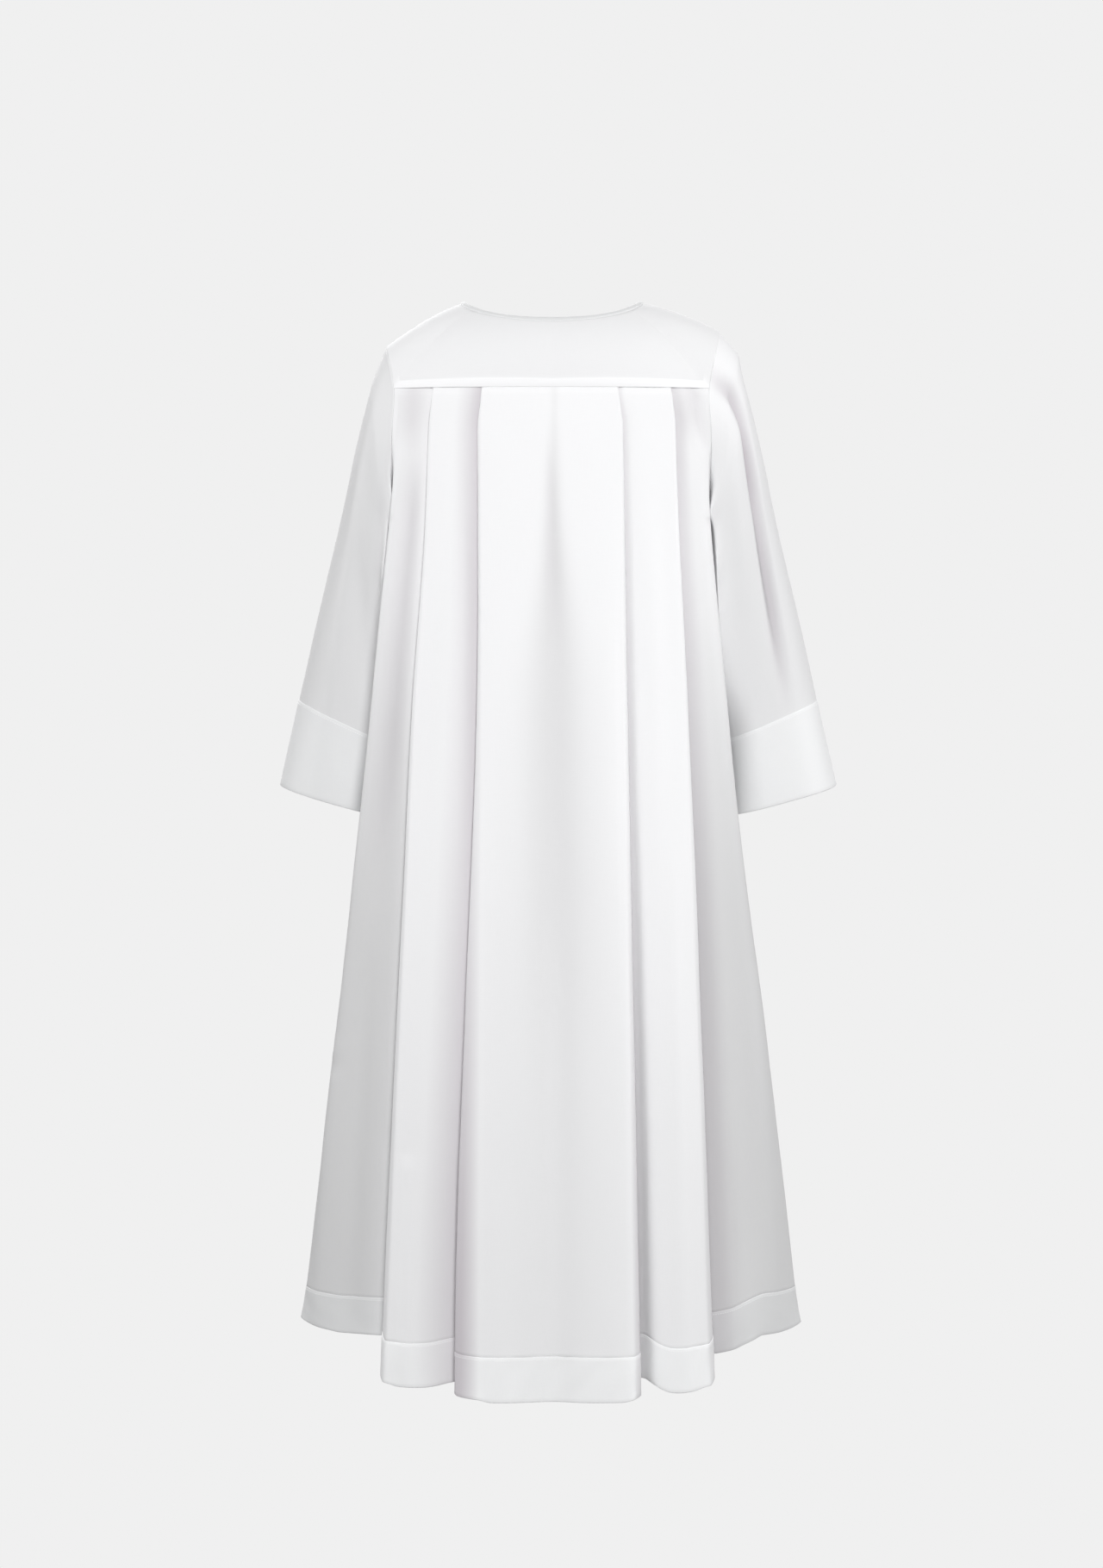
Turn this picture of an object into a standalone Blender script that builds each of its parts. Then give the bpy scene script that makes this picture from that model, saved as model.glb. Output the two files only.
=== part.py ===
"""A long white rochet in the shape it has when worn: yoke, pleated panels, wide sleeves, cuffs and hems.

Metres, +Z up, the front faces -Y. The origin is the middle of the neck, level with the top of the shoulders.
Every piece is a wall of cloth between an outer and an inner grid of points. Plan sections give the body,
rings give the sleeves, and the yoke spans from the neck to the armholes and the yoke seams.
"""
import math
from collections import namedtuple

import bmesh
import bpy

# Cloth
WALL = 0.0012           # one layer of cloth
DOUBLE = 0.0024         # turned or folded double cloth
SEAM = 0.0003           # gap between two pieces at a seam
BAND_RAISE = 0.0006     # how far double bands stand proud of the single cloth

# Neck and binding
NECK_HALF = 0.0985      # half width of the neck hole
NECK_BACK = 0.070       # from the middle of the neck to the nape
NECK_FRONT = 0.085      # from the middle of the neck to the throat
NECK_TOP = -0.002       # level of the neck on the shoulder line
NAPE_DIP = 0.023        # the neck hole is this much lower at the nape
THROAT_DIP = 0.052      # and this much lower at the throat
NECK_DROP = 1.6         # how late the neck hole drops away from the shoulder line
NECK_ROUND = 2.4        # a higher value gives a squarer neck hole
BINDING = 0.007         # width of the binding
BINDING_ROUND = (0.0003, 0.0009, 0.0003)    # how far its edge, middle and seam round out

# Armhole, a squared oval that stands across the shoulder end
ARMHOLE_TOP = -0.046
ARMHOLE_LOW = -0.250
ARMHOLE_DEEP = 0.0945   # half width of the armhole, front to back
ARMHOLE_ROUND = 2.2
BACK_CORNER = 67.5      # angle from the top of the armhole to the yoke seam at the back
FRONT_CORNER = 78.75    # and at the front
SHOULDER_STEPS = 8      # steps of the yoke along the armhole, from seam to seam
UNDER_STEPS = 5         # steps of each panel along the armhole, from yoke seam to underarm

# Yoke
YOKE_STEPS = 12         # steps along each yoke seam
YOKE_ROWS = (0.34, 0.68)    # rows between the binding and the welt, as shares of the way
YOKE_CROWN = 0.009      # how far the yoke rounds out over the shoulders
CROWN_BACK = 0.8        # share of it that also goes back at the nape and forward at the throat
CROWN_LEAST = 0.35      # share of it that is left in the middle and on the shoulder line
NECK_BACK_CORNER = 58.0     # angle round the neck that faces the yoke's back corner
NECK_FRONT_CORNER = 122.0   # and its front corner
WELT_RAISE = 0.0012     # the pressed welt along the yoke seams
WELT_WIDE = 0.010
WELT_TOP = 0.4          # its highest line, as a share of its width
WELT_EDGE = 0.6         # what is left of its height at the seam

# Hem
HEM_LEVEL = -1.175      # lower edge of the hem at the sides
HEM_DEEP = 0.050
BACK_DIP = 0.036        # the middle of the back hangs this much lower
FRONT_DIP = 0.014
DIP_FROM = 0.3          # the dip starts where a section reaches this share of its middle
PANEL_ROWS = 9          # steps of a panel from the underarm to its hem
HEM_ROWS = 2
SPAN_STEPS = 2          # steps for each control of a body section

# Knife pleats
NOSE_LEAST = 0.0038     # least depth of a pleat's folded edge
NOSE_SHARE = 0.34       # and its depth as a share of the fold's
TURN_LEAST = 0.0022     # least depth of the turn hidden under it
TURN_SHARE = 0.30
OPENING = 1.2           # how late the pleats open on their way down
EDGE_DRIFT = 0.9        # how soon the folded edges move towards their places at the hem

# Plain cloth between the pleats
FALL = 3.0              # how late a section falls off from the middle to the sides
VALLEY_START = 1.3      # how soon the soft middle fold opens
MIDDLE_SAG = 0.25       # the cloth beside the middle sinks by this share of the middle fold
FLANK_PLACE = 0.45      # the flank's low line between its pleat and its lobe
FLANK_SAG = 0.45        # and how far it sinks, as a share of the pleat's depth
LOBE_OUT = 0.010        # how far a lobe rounds out sideways below the armhole
LOBE_AWAY = 0.014       # and away from the middle
LOBE_START = 2.0        # how soon it does

# Sleeve
SLEEVE_ROUND = 2.3
SLEEVE_ROWS = 11        # steps from the armhole to the cuff
SLEEVE_CLOSE = 1.15     # how much closer together they are at the head
CUFF_ROWS = 2
RIGHT_SWING = 0.016     # the right sleeve hangs this much further out
SWING_START = 2.0       # how soon it swings out
SWING_INNER = 0.4       # the inner rail's share of the swing
TROUGH_START = 0.14     # a trough reaches its depth at this share of the sleeve
TROUGH_FADE = 0.5       # starts to fade here
TROUGH_FADED = 0.85     # has faded here
TROUGH_LEFT = 0.4       # and keeps this share of its depth

SHARP_ANGLE = 50.0      # edges above this angle stay sharp
SINGLE_COLOUR = (0.86, 0.86, 0.87)
DOUBLE_COLOUR = (0.90, 0.90, 0.91)
SINGLE_ROUGHNESS = 0.85
DOUBLE_ROUGHNESS = 0.82

Armhole = namedtuple("Armhole", "z x")
ARMHOLE_LINE = (
    Armhole(-0.046, 0.188),
    Armhole(-0.106, 0.176),
    Armhole(-0.155, 0.178),
    Armhole(-0.250, 0.178),
)

# Plan sections of the body. The middles and lobes are y distances from the middle of the garment,
# a lobe is the widest place behind or before the sleeve, and side is the side seam under it.
Level = namedtuple("Level", "z back lobe_left lobe_right lobe_y tuck side side_y front front_lobe front_lobe_y")
LEVELS = (
    Level(-0.106, 0.115, 0.169, 0.169, 0.091, 0.000, 0.176, 0.088, 0.104, 0.168, 0.092),
    Level(-0.190, 0.125, 0.176, 0.176, 0.094, 0.001, 0.178, 0.060, 0.116, 0.172, 0.098),
    Level(-0.250, 0.132, 0.184, 0.182, 0.091, 0.008, 0.178, 0.000, 0.124, 0.177, 0.100),
    Level(-0.550, 0.166, 0.216, 0.213, 0.078, 0.000, 0.160, -0.042, 0.154, 0.194, 0.120),
    Level(-0.850, 0.202, 0.250, 0.249, 0.048, -0.006, 0.206, -0.052, 0.186, 0.230, 0.128),
    Level(-1.175, 0.247, 0.286, 0.284, -0.006, -0.004, 0.278, -0.060, 0.222, 0.264, 0.132),
)

# Knife pleats, from the middle outwards: the folded edge's place at the yoke seam and at the hem, how deep
# the fold is there, and how far the cloth runs back under it.
Pleat = namedtuple("Pleat", "top hem deep_top deep_hem under_top under_hem")
BACK_PLEATS = {
    1: (Pleat(0.0817, 0.0735, 0.0066, 0.066, 0.026, 0.048),
        Pleat(0.1383, 0.1857, 0.0066, 0.074, 0.024, 0.046)),
    -1: (Pleat(0.0778, 0.0939, 0.0066, 0.064, 0.026, 0.050),
         Pleat(0.1364, 0.1743, 0.0066, 0.070, 0.024, 0.044)),
}
FRONT_PLEATS = {
    1: (Pleat(0.0700, 0.0860, 0.0066, 0.052, 0.024, 0.042),
        Pleat(0.1240, 0.1700, 0.0066, 0.056, 0.022, 0.040)),
    -1: (Pleat(0.0720, 0.0800, 0.0066, 0.050, 0.024, 0.042),
         Pleat(0.1220, 0.1640, 0.0066, 0.058, 0.022, 0.040)),
}
CENTRE_VALLEY = {1: 0.024, -1: 0.016}     # depth of the soft fold at the hem, back and front

# How far the cloth between two folded edges sinks at a place on its way, as a share of the fold's depth.
Sag = namedtuple("Sag", "place sunk")
PANEL_SAGS = (Sag(0.36, 0.62), Sag(0.74, 0.10))

# Sections of a sleeve: the outer and inner rail, and the middle and half width from front to back.
Ring = namedtuple("Ring", "outer_x outer_z inner_x inner_z middle deep")
RINGS = (
    Ring(0.188, -0.046, 0.178, -0.250, 0.000, 0.0945),
    Ring(0.205, -0.099, 0.188, -0.268, -0.002, 0.0880),
    Ring(0.2226, -0.1675, 0.191, -0.300, -0.010, 0.0830),
    Ring(0.243, -0.260, 0.192, -0.352, -0.024, 0.0850),
    Ring(0.268, -0.360, 0.190, -0.418, -0.040, 0.0920),
    Ring(0.2906, -0.456, 0.191, -0.503, -0.054, 0.0980),
    Ring(0.313, -0.553, 0.195, -0.588, -0.060, 0.1010),
)
CUFF_SEAM = 5           # the row of RINGS where the cuff starts

# Long soft troughs down a sleeve, by their angle round it at the head and at the cuff.
Trough = namedtuple("Trough", "top low wide deep")
TROUGHS = {
    1: (Trough(62, 112, 26, 0.006), Trough(250, 285, 30, 0.007)),
    -1: (Trough(52, 84, 22, 0.010), Trough(255, 290, 30, 0.006)),
}


def clear_scene():
    for item in list(bpy.data.objects):
        bpy.data.objects.remove(item, do_unlink=True)


def cloth_material(name, colour, roughness):
    """A Principled material of the cloth's colour."""
    material = bpy.data.materials.new(name)
    material.use_nodes = True
    shader = material.node_tree.nodes["Principled BSDF"]
    shader.inputs["Base Color"].default_value = (*colour, 1.0)
    shader.inputs["Roughness"].default_value = roughness
    shader.inputs["Metallic"].default_value = 0.0
    return material


def mix(start, end, share):
    """The value or point that lies this share of the way from start to end."""
    if isinstance(start, (tuple, list)):
        return tuple(mix(a, b, share) for a, b in zip(start, end))
    return start + (end - start) * share


def move(point, direction, distance):
    return tuple(p + d * distance for p, d in zip(point, direction))


def unit(vector):
    length = math.sqrt(sum(v * v for v in vector))
    return tuple(v / length for v in vector)


def cross(a, b):
    return (a[1] * b[2] - a[2] * b[1], a[2] * b[0] - a[0] * b[2], a[0] * b[1] - a[1] * b[0])


def between(a, b):
    return tuple(q - p for p, q in zip(a, b))


def ease(share):
    """A share from 0 to 1 that starts and ends gently."""
    share = min(1.0, max(0.0, share))
    return share * share * (3.0 - 2.0 * share)


def curve_through(keys, values, at):
    """A smooth value at one key, on a curve through all the keys and values."""
    if keys[0] > keys[-1]:
        keys = [-key for key in keys]
        at = -at
    last = len(keys) - 1
    at = min(keys[-1], max(keys[0], at))
    i = max(k for k in range(last) if keys[k] <= at)
    slopes = [(values[k + 1] - values[k]) / (keys[k + 1] - keys[k]) for k in range(last)]
    start = slopes[i] if i == 0 else (slopes[i - 1] + slopes[i]) / 2
    end = slopes[i] if i == last - 1 else (slopes[i] + slopes[i + 1]) / 2
    width = keys[i + 1] - keys[i]
    t = (at - keys[i]) / width
    rise = (2 * t ** 3 - 3 * t ** 2 + 1) * values[i] + (3 * t ** 2 - 2 * t ** 3) * values[i + 1]
    return rise + width * ((t ** 3 - 2 * t ** 2 + t) * start + (t ** 3 - t ** 2) * end)


def row_at(table, key, at):
    """A row of a table between its own rows, all columns on smooth curves."""
    keys = [getattr(row, key) for row in table]
    columns = zip(*table)
    return type(table[0])(*(curve_through(keys, column, at) for column in columns))


def squared(angle, roundness):
    """Sine and cosine of an oval that is squarer the higher its roundness value is."""
    s = math.sin(math.radians(angle))
    c = math.cos(math.radians(angle))
    power = 2.0 / roundness
    return math.copysign(abs(s) ** power, s), math.copysign(abs(c) ** power, c)


def soft_line(controls, steps):
    """A soft curve from the first control to the last that touches each straight between them."""
    points = [controls[0]]
    last = len(controls) - 1
    for i in range(1, last):
        start = controls[0] if i == 1 else mix(controls[i - 1], controls[i], 0.5)
        end = controls[last] if i == last - 1 else mix(controls[i], controls[i + 1], 0.5)
        for k in range(1, steps + 1):
            t = k / steps
            points.append(mix(mix(start, controls[i], t), mix(controls[i], end, t), t))
    return points


def plan_normals(points):
    """Outward directions of a plan line that runs anticlockwise seen from above."""
    steps = [unit(between(a, b)) for a, b in zip(points, points[1:])]
    normals = []
    for before, after in zip(steps[:1] + steps, steps + steps[-1:]):
        normals.append(unit((before[1] + after[1], -before[0] - after[0], 0.0)))
    return normals


def wall(name, outer, inner, material, ring=False):
    """A closed solid between an outer and an inner grid; a ring joins its last column to its first.

    Both skins are cut into triangles the same way, so that a thin twisted wall keeps its thickness.
    """
    rows = len(outer)
    columns = len(outer[0])
    mesh = bpy.data.meshes.new(name)
    body = bmesh.new()
    skins = [[[body.verts.new(point) for point in row] for row in skin] for skin in (outer, inner)]
    spans = columns if ring else columns - 1
    for skin in skins:
        for r in range(rows - 1):
            for c in range(spans):
                d = (c + 1) % columns
                body.faces.new((skin[r][c], skin[r][d], skin[r + 1][d]))
                body.faces.new((skin[r][c], skin[r + 1][d], skin[r + 1][c]))
    out, inn = skins
    for c in range(spans):
        d = (c + 1) % columns
        for r in (0, rows - 1):
            body.faces.new((out[r][c], out[r][d], inn[r][d], inn[r][c]))
    if not ring:
        for r in range(rows - 1):
            for c in (0, columns - 1):
                body.faces.new((out[r][c], out[r + 1][c], inn[r + 1][c], inn[r][c]))
    bmesh.ops.recalc_face_normals(body, faces=body.faces)
    body.to_mesh(mesh)
    body.free()
    mesh.materials.append(material)
    mesh.shade_smooth()
    mesh.set_sharp_from_angle(angle=math.radians(SHARP_ANGLE))
    piece = bpy.data.objects.new(name, mesh)
    bpy.context.scene.collection.objects.link(piece)
    return piece


# The armhole

def armhole_x(z):
    return curve_through([row.z for row in ARMHOLE_LINE], [row.x for row in ARMHOLE_LINE], z)


def armhole_point(side, angle):
    """A point of the armhole, by its angle from the top of the shoulder towards the back."""
    s, c = squared(angle, ARMHOLE_ROUND)
    middle = (ARMHOLE_TOP + ARMHOLE_LOW) / 2
    z = middle + (ARMHOLE_TOP - ARMHOLE_LOW) / 2 * c
    return (side * armhole_x(z), ARMHOLE_DEEP * s, z)


def armhole_normal(angle):
    """Outward direction in the plane of the armhole."""
    near = 1.0
    before = armhole_point(1, angle - near)
    after = armhole_point(1, angle + near)
    return unit((0.0, before[2] - after[2], after[1] - before[1]))


def under_angles(face):
    """Angles where a panel's rows end on the armhole, from its yoke seam down to the underarm."""
    corner = BACK_CORNER if face > 0 else FRONT_CORNER
    return [mix(corner, 180.0, k / UNDER_STEPS) for k in range(UNDER_STEPS + 1)]


def shoulder_angles():
    """Angles of the yoke's columns on the armhole, from the back seam over the shoulder to the front seam."""
    return [mix(BACK_CORNER, -FRONT_CORNER, k / SHOULDER_STEPS) for k in range(SHOULDER_STEPS + 1)]


def yoke_seam_z(face):
    return armhole_point(1, BACK_CORNER if face > 0 else FRONT_CORNER)[2]


# The body's plan sections

def fall_off(centre, lobe_x, lobe_y, x):
    """How far back a plain section reaches at a place between the middle and its lobe."""
    share = min(1.0, abs(x) / lobe_x)
    return centre - (centre - lobe_y) * share ** FALL


def half_controls(face, side, z, end):
    """Controls of half a section from the middle to its end, as x and distance towards this face."""
    level = row_at(LEVELS, "z", z)
    if face > 0:
        centre, lobe_y = level.back, level.lobe_y
        lobe_x = level.lobe_left if side > 0 else level.lobe_right
    else:
        centre, lobe_y, lobe_x = level.front, level.front_lobe_y, level.front_lobe
    top = yoke_seam_z(face)
    down = (z - top) / (HEM_LEVEL - top)
    pleats = (BACK_PLEATS if face > 0 else FRONT_PLEATS)[side]
    valley = CENTRE_VALLEY[face] * ease(down * VALLEY_START)
    controls = [(0.0, centre - valley)]
    start = 0.0
    fold = valley
    for pleat in pleats:
        edge = mix(pleat.top, pleat.hem, down ** EDGE_DRIFT)
        deep = mix(pleat.deep_top, pleat.deep_hem, down ** OPENING)
        under = mix(pleat.under_top, pleat.under_hem, down)
        nose = max(NOSE_LEAST, NOSE_SHARE * deep)
        turn = max(TURN_LEAST, TURN_SHARE * deep)
        for sag in PANEL_SAGS:
            x = mix(start, edge, sag.place)
            beside_middle = start == 0.0 and sag is PANEL_SAGS[0]
            sunk = fold * (MIDDLE_SAG if beside_middle else sag.sunk)
            controls.append((x, fall_off(centre, lobe_x, lobe_y, x) - sunk))
        edge_y = fall_off(centre, lobe_x, lobe_y, edge)
        controls.append((edge, edge_y))
        controls.append((edge, edge_y - nose))
        controls.append((edge - under, edge_y - deep + turn))
        controls.append((edge - under, edge_y - deep))
        start = edge
        fold = deep
    x = mix(start, lobe_x, FLANK_PLACE)
    controls.append((x, fall_off(centre, lobe_x, lobe_y, x) - fold * FLANK_SAG))
    rounded = ease(down * LOBE_START)
    lobe = (lobe_x + LOBE_OUT * rounded, lobe_y + LOBE_AWAY * rounded)
    controls.append(lobe)
    close = mix(lobe, end, 0.5)
    controls.append((close[0] - level.tuck, close[1]))
    controls.append(end)
    return controls


def section_end(face, side, z, angle):
    """Where a section ends: on the armhole down to the underarm, and on the side seam below it."""
    if angle is not None:
        x, y, _ = armhole_point(side, angle)
        if angle < 180.0:
            return abs(x) - SEAM / 2, y
        return abs(x) - SEAM / 2, SEAM / 2
    level = row_at(LEVELS, "z", z)
    return level.side, face * level.side_y + SEAM / 2


def section(face, z, angle=None):
    """One row of a panel, anticlockwise: the back from left to right, the front from right to left."""
    first, second = (1, -1) if face > 0 else (-1, 1)
    halves = []
    for side in (first, second):
        half = half_controls(face, side, z, section_end(face, side, z, angle))
        halves.append([(side * x, face * y) for x, y in half])
    controls = halves[0][::-1] + halves[1][1:]
    return soft_line(controls, SPAN_STEPS)


def hang(face, z, points):
    """Give a plan line its level: the middle of a panel hangs lower the nearer it is to the hem."""
    top = yoke_seam_z(face)
    level = row_at(LEVELS, "z", z)
    centre = level.back if face > 0 else level.front
    dip = (BACK_DIP if face > 0 else FRONT_DIP) * max(0.0, (z - top) / (HEM_LEVEL - top)) ** 2
    hung = []
    for x, y in points:
        out = min(1.0, max(0.0, (face * y / centre - DIP_FROM) / (1.0 - DIP_FROM)))
        hung.append((x, y, z - dip * math.sin(out * math.pi / 2)))
    return hung


def panel_rows(face):
    """Levels of a panel's rows with their armhole angles, from the yoke seam to the top of the hem."""
    rows = [(armhole_point(1, angle)[2], angle) for angle in under_angles(face)]
    rows[0] = (rows[0][0] - SEAM / 2, rows[0][1])
    low = HEM_LEVEL + HEM_DEEP + SEAM / 2
    rows += [(mix(ARMHOLE_LOW, low, k / PANEL_ROWS), None) for k in range(1, PANEL_ROWS + 1)]
    return rows


def cloth_rows(face, rows, raise_by, thickness):
    """Outer and inner grids of the body's cloth at the given levels."""
    outer = []
    inner = []
    for z, angle in rows:
        line = section(face, z, angle)
        normals = plan_normals(line)
        for end in (0, -1):
            side = math.copysign(1.0, line[end][0])
            if angle is None:
                normals[end] = (side, 0.0, 0.0)
            elif side * normals[end][0] < 0.0:
                normals[end] = (0.0, float(face), 0.0)
        points = hang(face, z, line)
        outer.append([move(p, n, raise_by) for p, n in zip(points, normals)])
        inner.append([move(p, n, raise_by - thickness) for p, n in zip(points, normals)])
    return outer, inner


def body_panel(name, face, material):
    outer, inner = cloth_rows(face, panel_rows(face), 0.0, WALL)
    return wall(name, outer, inner, material)


def body_hem(name, face, material):
    top = HEM_LEVEL + HEM_DEEP - SEAM / 2
    rows = [(mix(top, HEM_LEVEL, k / HEM_ROWS), None) for k in range(HEM_ROWS + 1)]
    outer, inner = cloth_rows(face, rows, BAND_RAISE, DOUBLE)
    return wall(name, outer, inner, material)


# Yoke and binding

def neck_point(angle):
    """The upper edge of the binding, by its angle from the nape towards the left."""
    s, c = squared(angle, NECK_ROUND)
    reach, dip = (NECK_BACK, NAPE_DIP) if c > 0 else (NECK_FRONT, THROAT_DIP)
    return (NECK_HALF * s, reach * c, NECK_TOP - dip * abs(c) ** NECK_DROP)


def yoke_seam_point(face, side, share):
    """A point of the yoke's lower edge, from the middle to the corner at the armhole."""
    z = yoke_seam_z(face)
    level = row_at(LEVELS, "z", z)
    corner = armhole_point(1, BACK_CORNER if face > 0 else -FRONT_CORNER)
    centre = level.back if face > 0 else level.front
    x = share * (corner[0] - SEAM / 2)
    y = centre - (centre - abs(corner[1])) * share ** FALL
    return (side * x, face * y, z + SEAM / 2)


def yoke_edge():
    """The yoke's outer edge from the middle of the back round by the left: point, direction and neck angle."""
    edge = []
    half = YOKE_STEPS // 2
    for face, side in ((1, 1), (-1, 1), (-1, -1), (1, -1)):
        middle_angle, corner_angle = (0.0, NECK_BACK_CORNER) if face > 0 else (180.0, NECK_FRONT_CORNER)
        seam = []
        for k in range(half):
            share = k / half
            angle = mix(middle_angle, corner_angle, share)
            seam.append((yoke_seam_point(face, side, share), (0.0, float(face), 0.0), side * angle))
        shoulder = []
        angles = shoulder_angles()
        middle = SHOULDER_STEPS // 2
        chosen = angles[:middle] if face > 0 else angles[middle:][::-1]
        for k, angle in enumerate(chosen):
            x, y, z = armhole_point(side, angle)
            normal = armhole_normal(angle)
            if k == 0:
                z += SEAM / 2
                normal = (0.0, float(face), 0.0)
            place = mix(corner_angle, 90.0, k / middle)
            shoulder.append(((x - side * SEAM / 2, y, z), normal, side * place))
        quarter = seam + shoulder
        if side * face < 0:
            quarter = quarter[::-1]
        edge += quarter
    return tidy_ring(edge)


def tidy_ring(edge):
    """Leave out each point that repeats the one before it."""
    kept = []
    for entry in edge:
        if not kept or math.dist(kept[-1][0], entry[0]) > 1e-6:
            kept.append(entry)
    if math.dist(kept[0][0], kept[-1][0]) < 1e-6:
        kept.pop()
    return kept


def yoke_surface(start, end, neck_angle, share):
    """A point between the neck and the yoke's outer edge, rounded out over the shoulder."""
    crown = YOKE_CROWN * 4.0 * share * (1.0 - share)
    back = math.cos(math.radians(neck_angle))
    slope = abs(math.sin(math.radians(2.0 * neck_angle)))
    x, y, z = mix(start, end, share)
    return (x, y + CROWN_BACK * crown * back, z + crown * mix(CROWN_LEAST, 1.0, slope))


def yoke_grid(shares_of):
    """Rows of points from the neck outwards, with the surface's outward directions."""
    edge = yoke_edge()
    near = 0.01
    rows = []
    normals = []
    for r in range(len(shares_of(1.0))):
        row = []
        for point, _, angle in edge:
            start = neck_point(angle)
            share = shares_of(math.dist(start, point))[r]
            row.append((start, point, angle, share))
        points = [yoke_surface(*entry) for entry in row]
        further = [yoke_surface(s, p, a, share + near) for s, p, a, share in row]
        rows.append(points)
        directions = []
        for c, point in enumerate(points):
            along = between(points[c - 1], points[(c + 1) % len(points)])
            away = between(point, further[c])
            directions.append(unit(cross(along, away)))
        normals.append(directions)
    return edge, rows, normals


def neck_binding(material):
    def shares(length):
        reach = (BINDING - SEAM / 2) / length
        return [0.0, reach / 2, reach]
    _, rows, normals = yoke_grid(shares)
    outer = []
    inner = []
    for row, line, up in zip(rows, normals, BINDING_ROUND):
        outer.append([move(p, n, up) for p, n in zip(row, line)])
        inner.append([move(p, n, -up - WALL) for p, n in zip(row, line)])
    return wall("neck_binding", outer, inner, material, ring=True)


def yoke(material):
    def shares(length):
        first = (BINDING + SEAM / 2) / length
        welt = 1.0 - WELT_WIDE / length
        plain = [mix(first, welt, row) for row in YOKE_ROWS]
        return [first] + plain + [welt, mix(welt, 1.0, WELT_TOP), 1.0]
    edge, rows, normals = yoke_grid(shares)
    raised = [0.0] * (len(rows) - 2) + [WELT_RAISE, WELT_RAISE * WELT_EDGE]
    normals[-1] = [direction for _, direction, _ in edge]
    outer = []
    inner = []
    for row, line, up in zip(rows, normals, raised):
        lifts = [up if abs(entry[1][1]) == 1.0 else 0.0 for entry in edge]
        outer.append([move(p, n, lift) for p, n, lift in zip(row, line, lifts)])
        inner.append([move(p, n, -WALL) for p, n in zip(row, line)])
    return wall("yoke", outer, inner, material, ring=True)


# Sleeves and cuffs

def sleeve_angles():
    """Angles round a sleeve; the body's rows and the yoke's columns meet every second one."""
    back = under_angles(1)
    front = [360.0 - angle for angle in under_angles(-1)[::-1]]
    top = [angle % 360.0 for angle in shoulder_angles()[::-1]]
    joined = back[:-1] + front[:-1] + top[:-1]
    angles = []
    for k, angle in enumerate(joined):
        following = joined[(k + 1) % len(joined)]
        if following < angle:
            following += 360.0
        angles += [angle, ((angle + following) / 2) % 360.0]
    return angles


def trough(side, angle, place):
    """How far the long troughs sink the sleeve at an angle, from 0 at the head to 1 at the cuff's edge."""
    sunk = 0.0
    for row in TROUGHS[side]:
        off = (angle - mix(row.top, row.low, place) + 180.0) % 360.0 - 180.0
        faded = ease((place - TROUGH_FADE) / (TROUGH_FADED - TROUGH_FADE))
        strength = ease(place / TROUGH_START) * mix(1.0, TROUGH_LEFT, faded)
        sunk += row.deep * math.exp(-(off / row.wide) ** 2) * strength
    return sunk


def sleeve_ring(side, place):
    """One ring of a sleeve at a place counted in rows of RINGS, with its outward directions."""
    columns = zip(*RINGS)
    keys = list(range(len(RINGS)))
    ring = Ring(*(curve_through(keys, column, place) for column in columns))
    swing = RIGHT_SWING * ease(SWING_START * place) if side < 0 else 0.0
    outer = (ring.outer_x + swing, ring.outer_z)
    inner = (ring.inner_x + swing * SWING_INNER, ring.inner_z)
    middle = mix(inner, outer, 0.5)
    half = between(middle, outer)
    angles = sleeve_angles()
    leave = 1.0 - ease(place)
    head = RINGS[0]
    points = []
    for k, angle in enumerate(angles):
        s, c = squared(angle, mix(ARMHOLE_ROUND, SLEEVE_ROUND, ease(place)))
        deep = ring.deep - trough(side, angle, place / (len(RINGS) - 1)) * abs(s)
        point = (side * (middle[0] + half[0] * c), ring.middle + deep * s, middle[1] + half[1] * c)
        if k % 2 == 0:
            seam = armhole_point(side, angle)
        else:
            ends = (angles[k - 1], angles[(k + 1) % len(angles)])
            seam = mix(armhole_point(side, ends[0]), armhole_point(side, ends[1]), 0.5)
        s0, c0 = squared(angle, ARMHOLE_ROUND)
        start_x = mix(head.inner_x, head.outer_x, (c0 + 1.0) / 2)
        start = (side * start_x, head.deep * s0, mix(head.inner_z, head.outer_z, (c0 + 1.0) / 2))
        point = move(point, between(start, seam), leave)
        points.append(move(point, (side, 0.0, 0.0), SEAM / 2 * leave))
    return points


def sleeve_rows(side, places, raise_by, thickness):
    """Outer and inner grids of a sleeve or cuff."""
    near = 0.04
    angles = sleeve_angles()
    outer = []
    inner = []
    for place in places:
        points = sleeve_ring(side, place)
        above = sleeve_ring(side, max(0.0, place - near))
        below = sleeve_ring(side, min(len(RINGS) - 1.0, place + near))
        normals = []
        for c, _ in enumerate(points):
            along = between(points[c - 1], points[(c + 1) % len(points)])
            down = between(above[c], below[c])
            normal = unit(cross(down, along))
            normals.append(tuple(side * n for n in normal))
        if place == 0.0:
            normals = [armhole_normal(angle) for angle in angles]
        outer.append([move(p, n, raise_by) for p, n in zip(points, normals)])
        inner.append([move(p, n, raise_by - thickness) for p, n in zip(points, normals)])
    return outer, inner


def half_cuff_gap():
    """Half the gap at a cuff's seam, counted in rows of RINGS."""
    return SEAM / 2 / (RINGS[CUFF_SEAM].inner_z - RINGS[CUFF_SEAM + 1].inner_z)


def sleeve(name, side, material):
    end = CUFF_SEAM - half_cuff_gap()
    places = [end * (k / SLEEVE_ROWS) ** SLEEVE_CLOSE for k in range(SLEEVE_ROWS + 1)]
    outer, inner = sleeve_rows(side, places, 0.0, WALL)
    return wall(name, outer, inner, material, ring=True)


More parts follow.
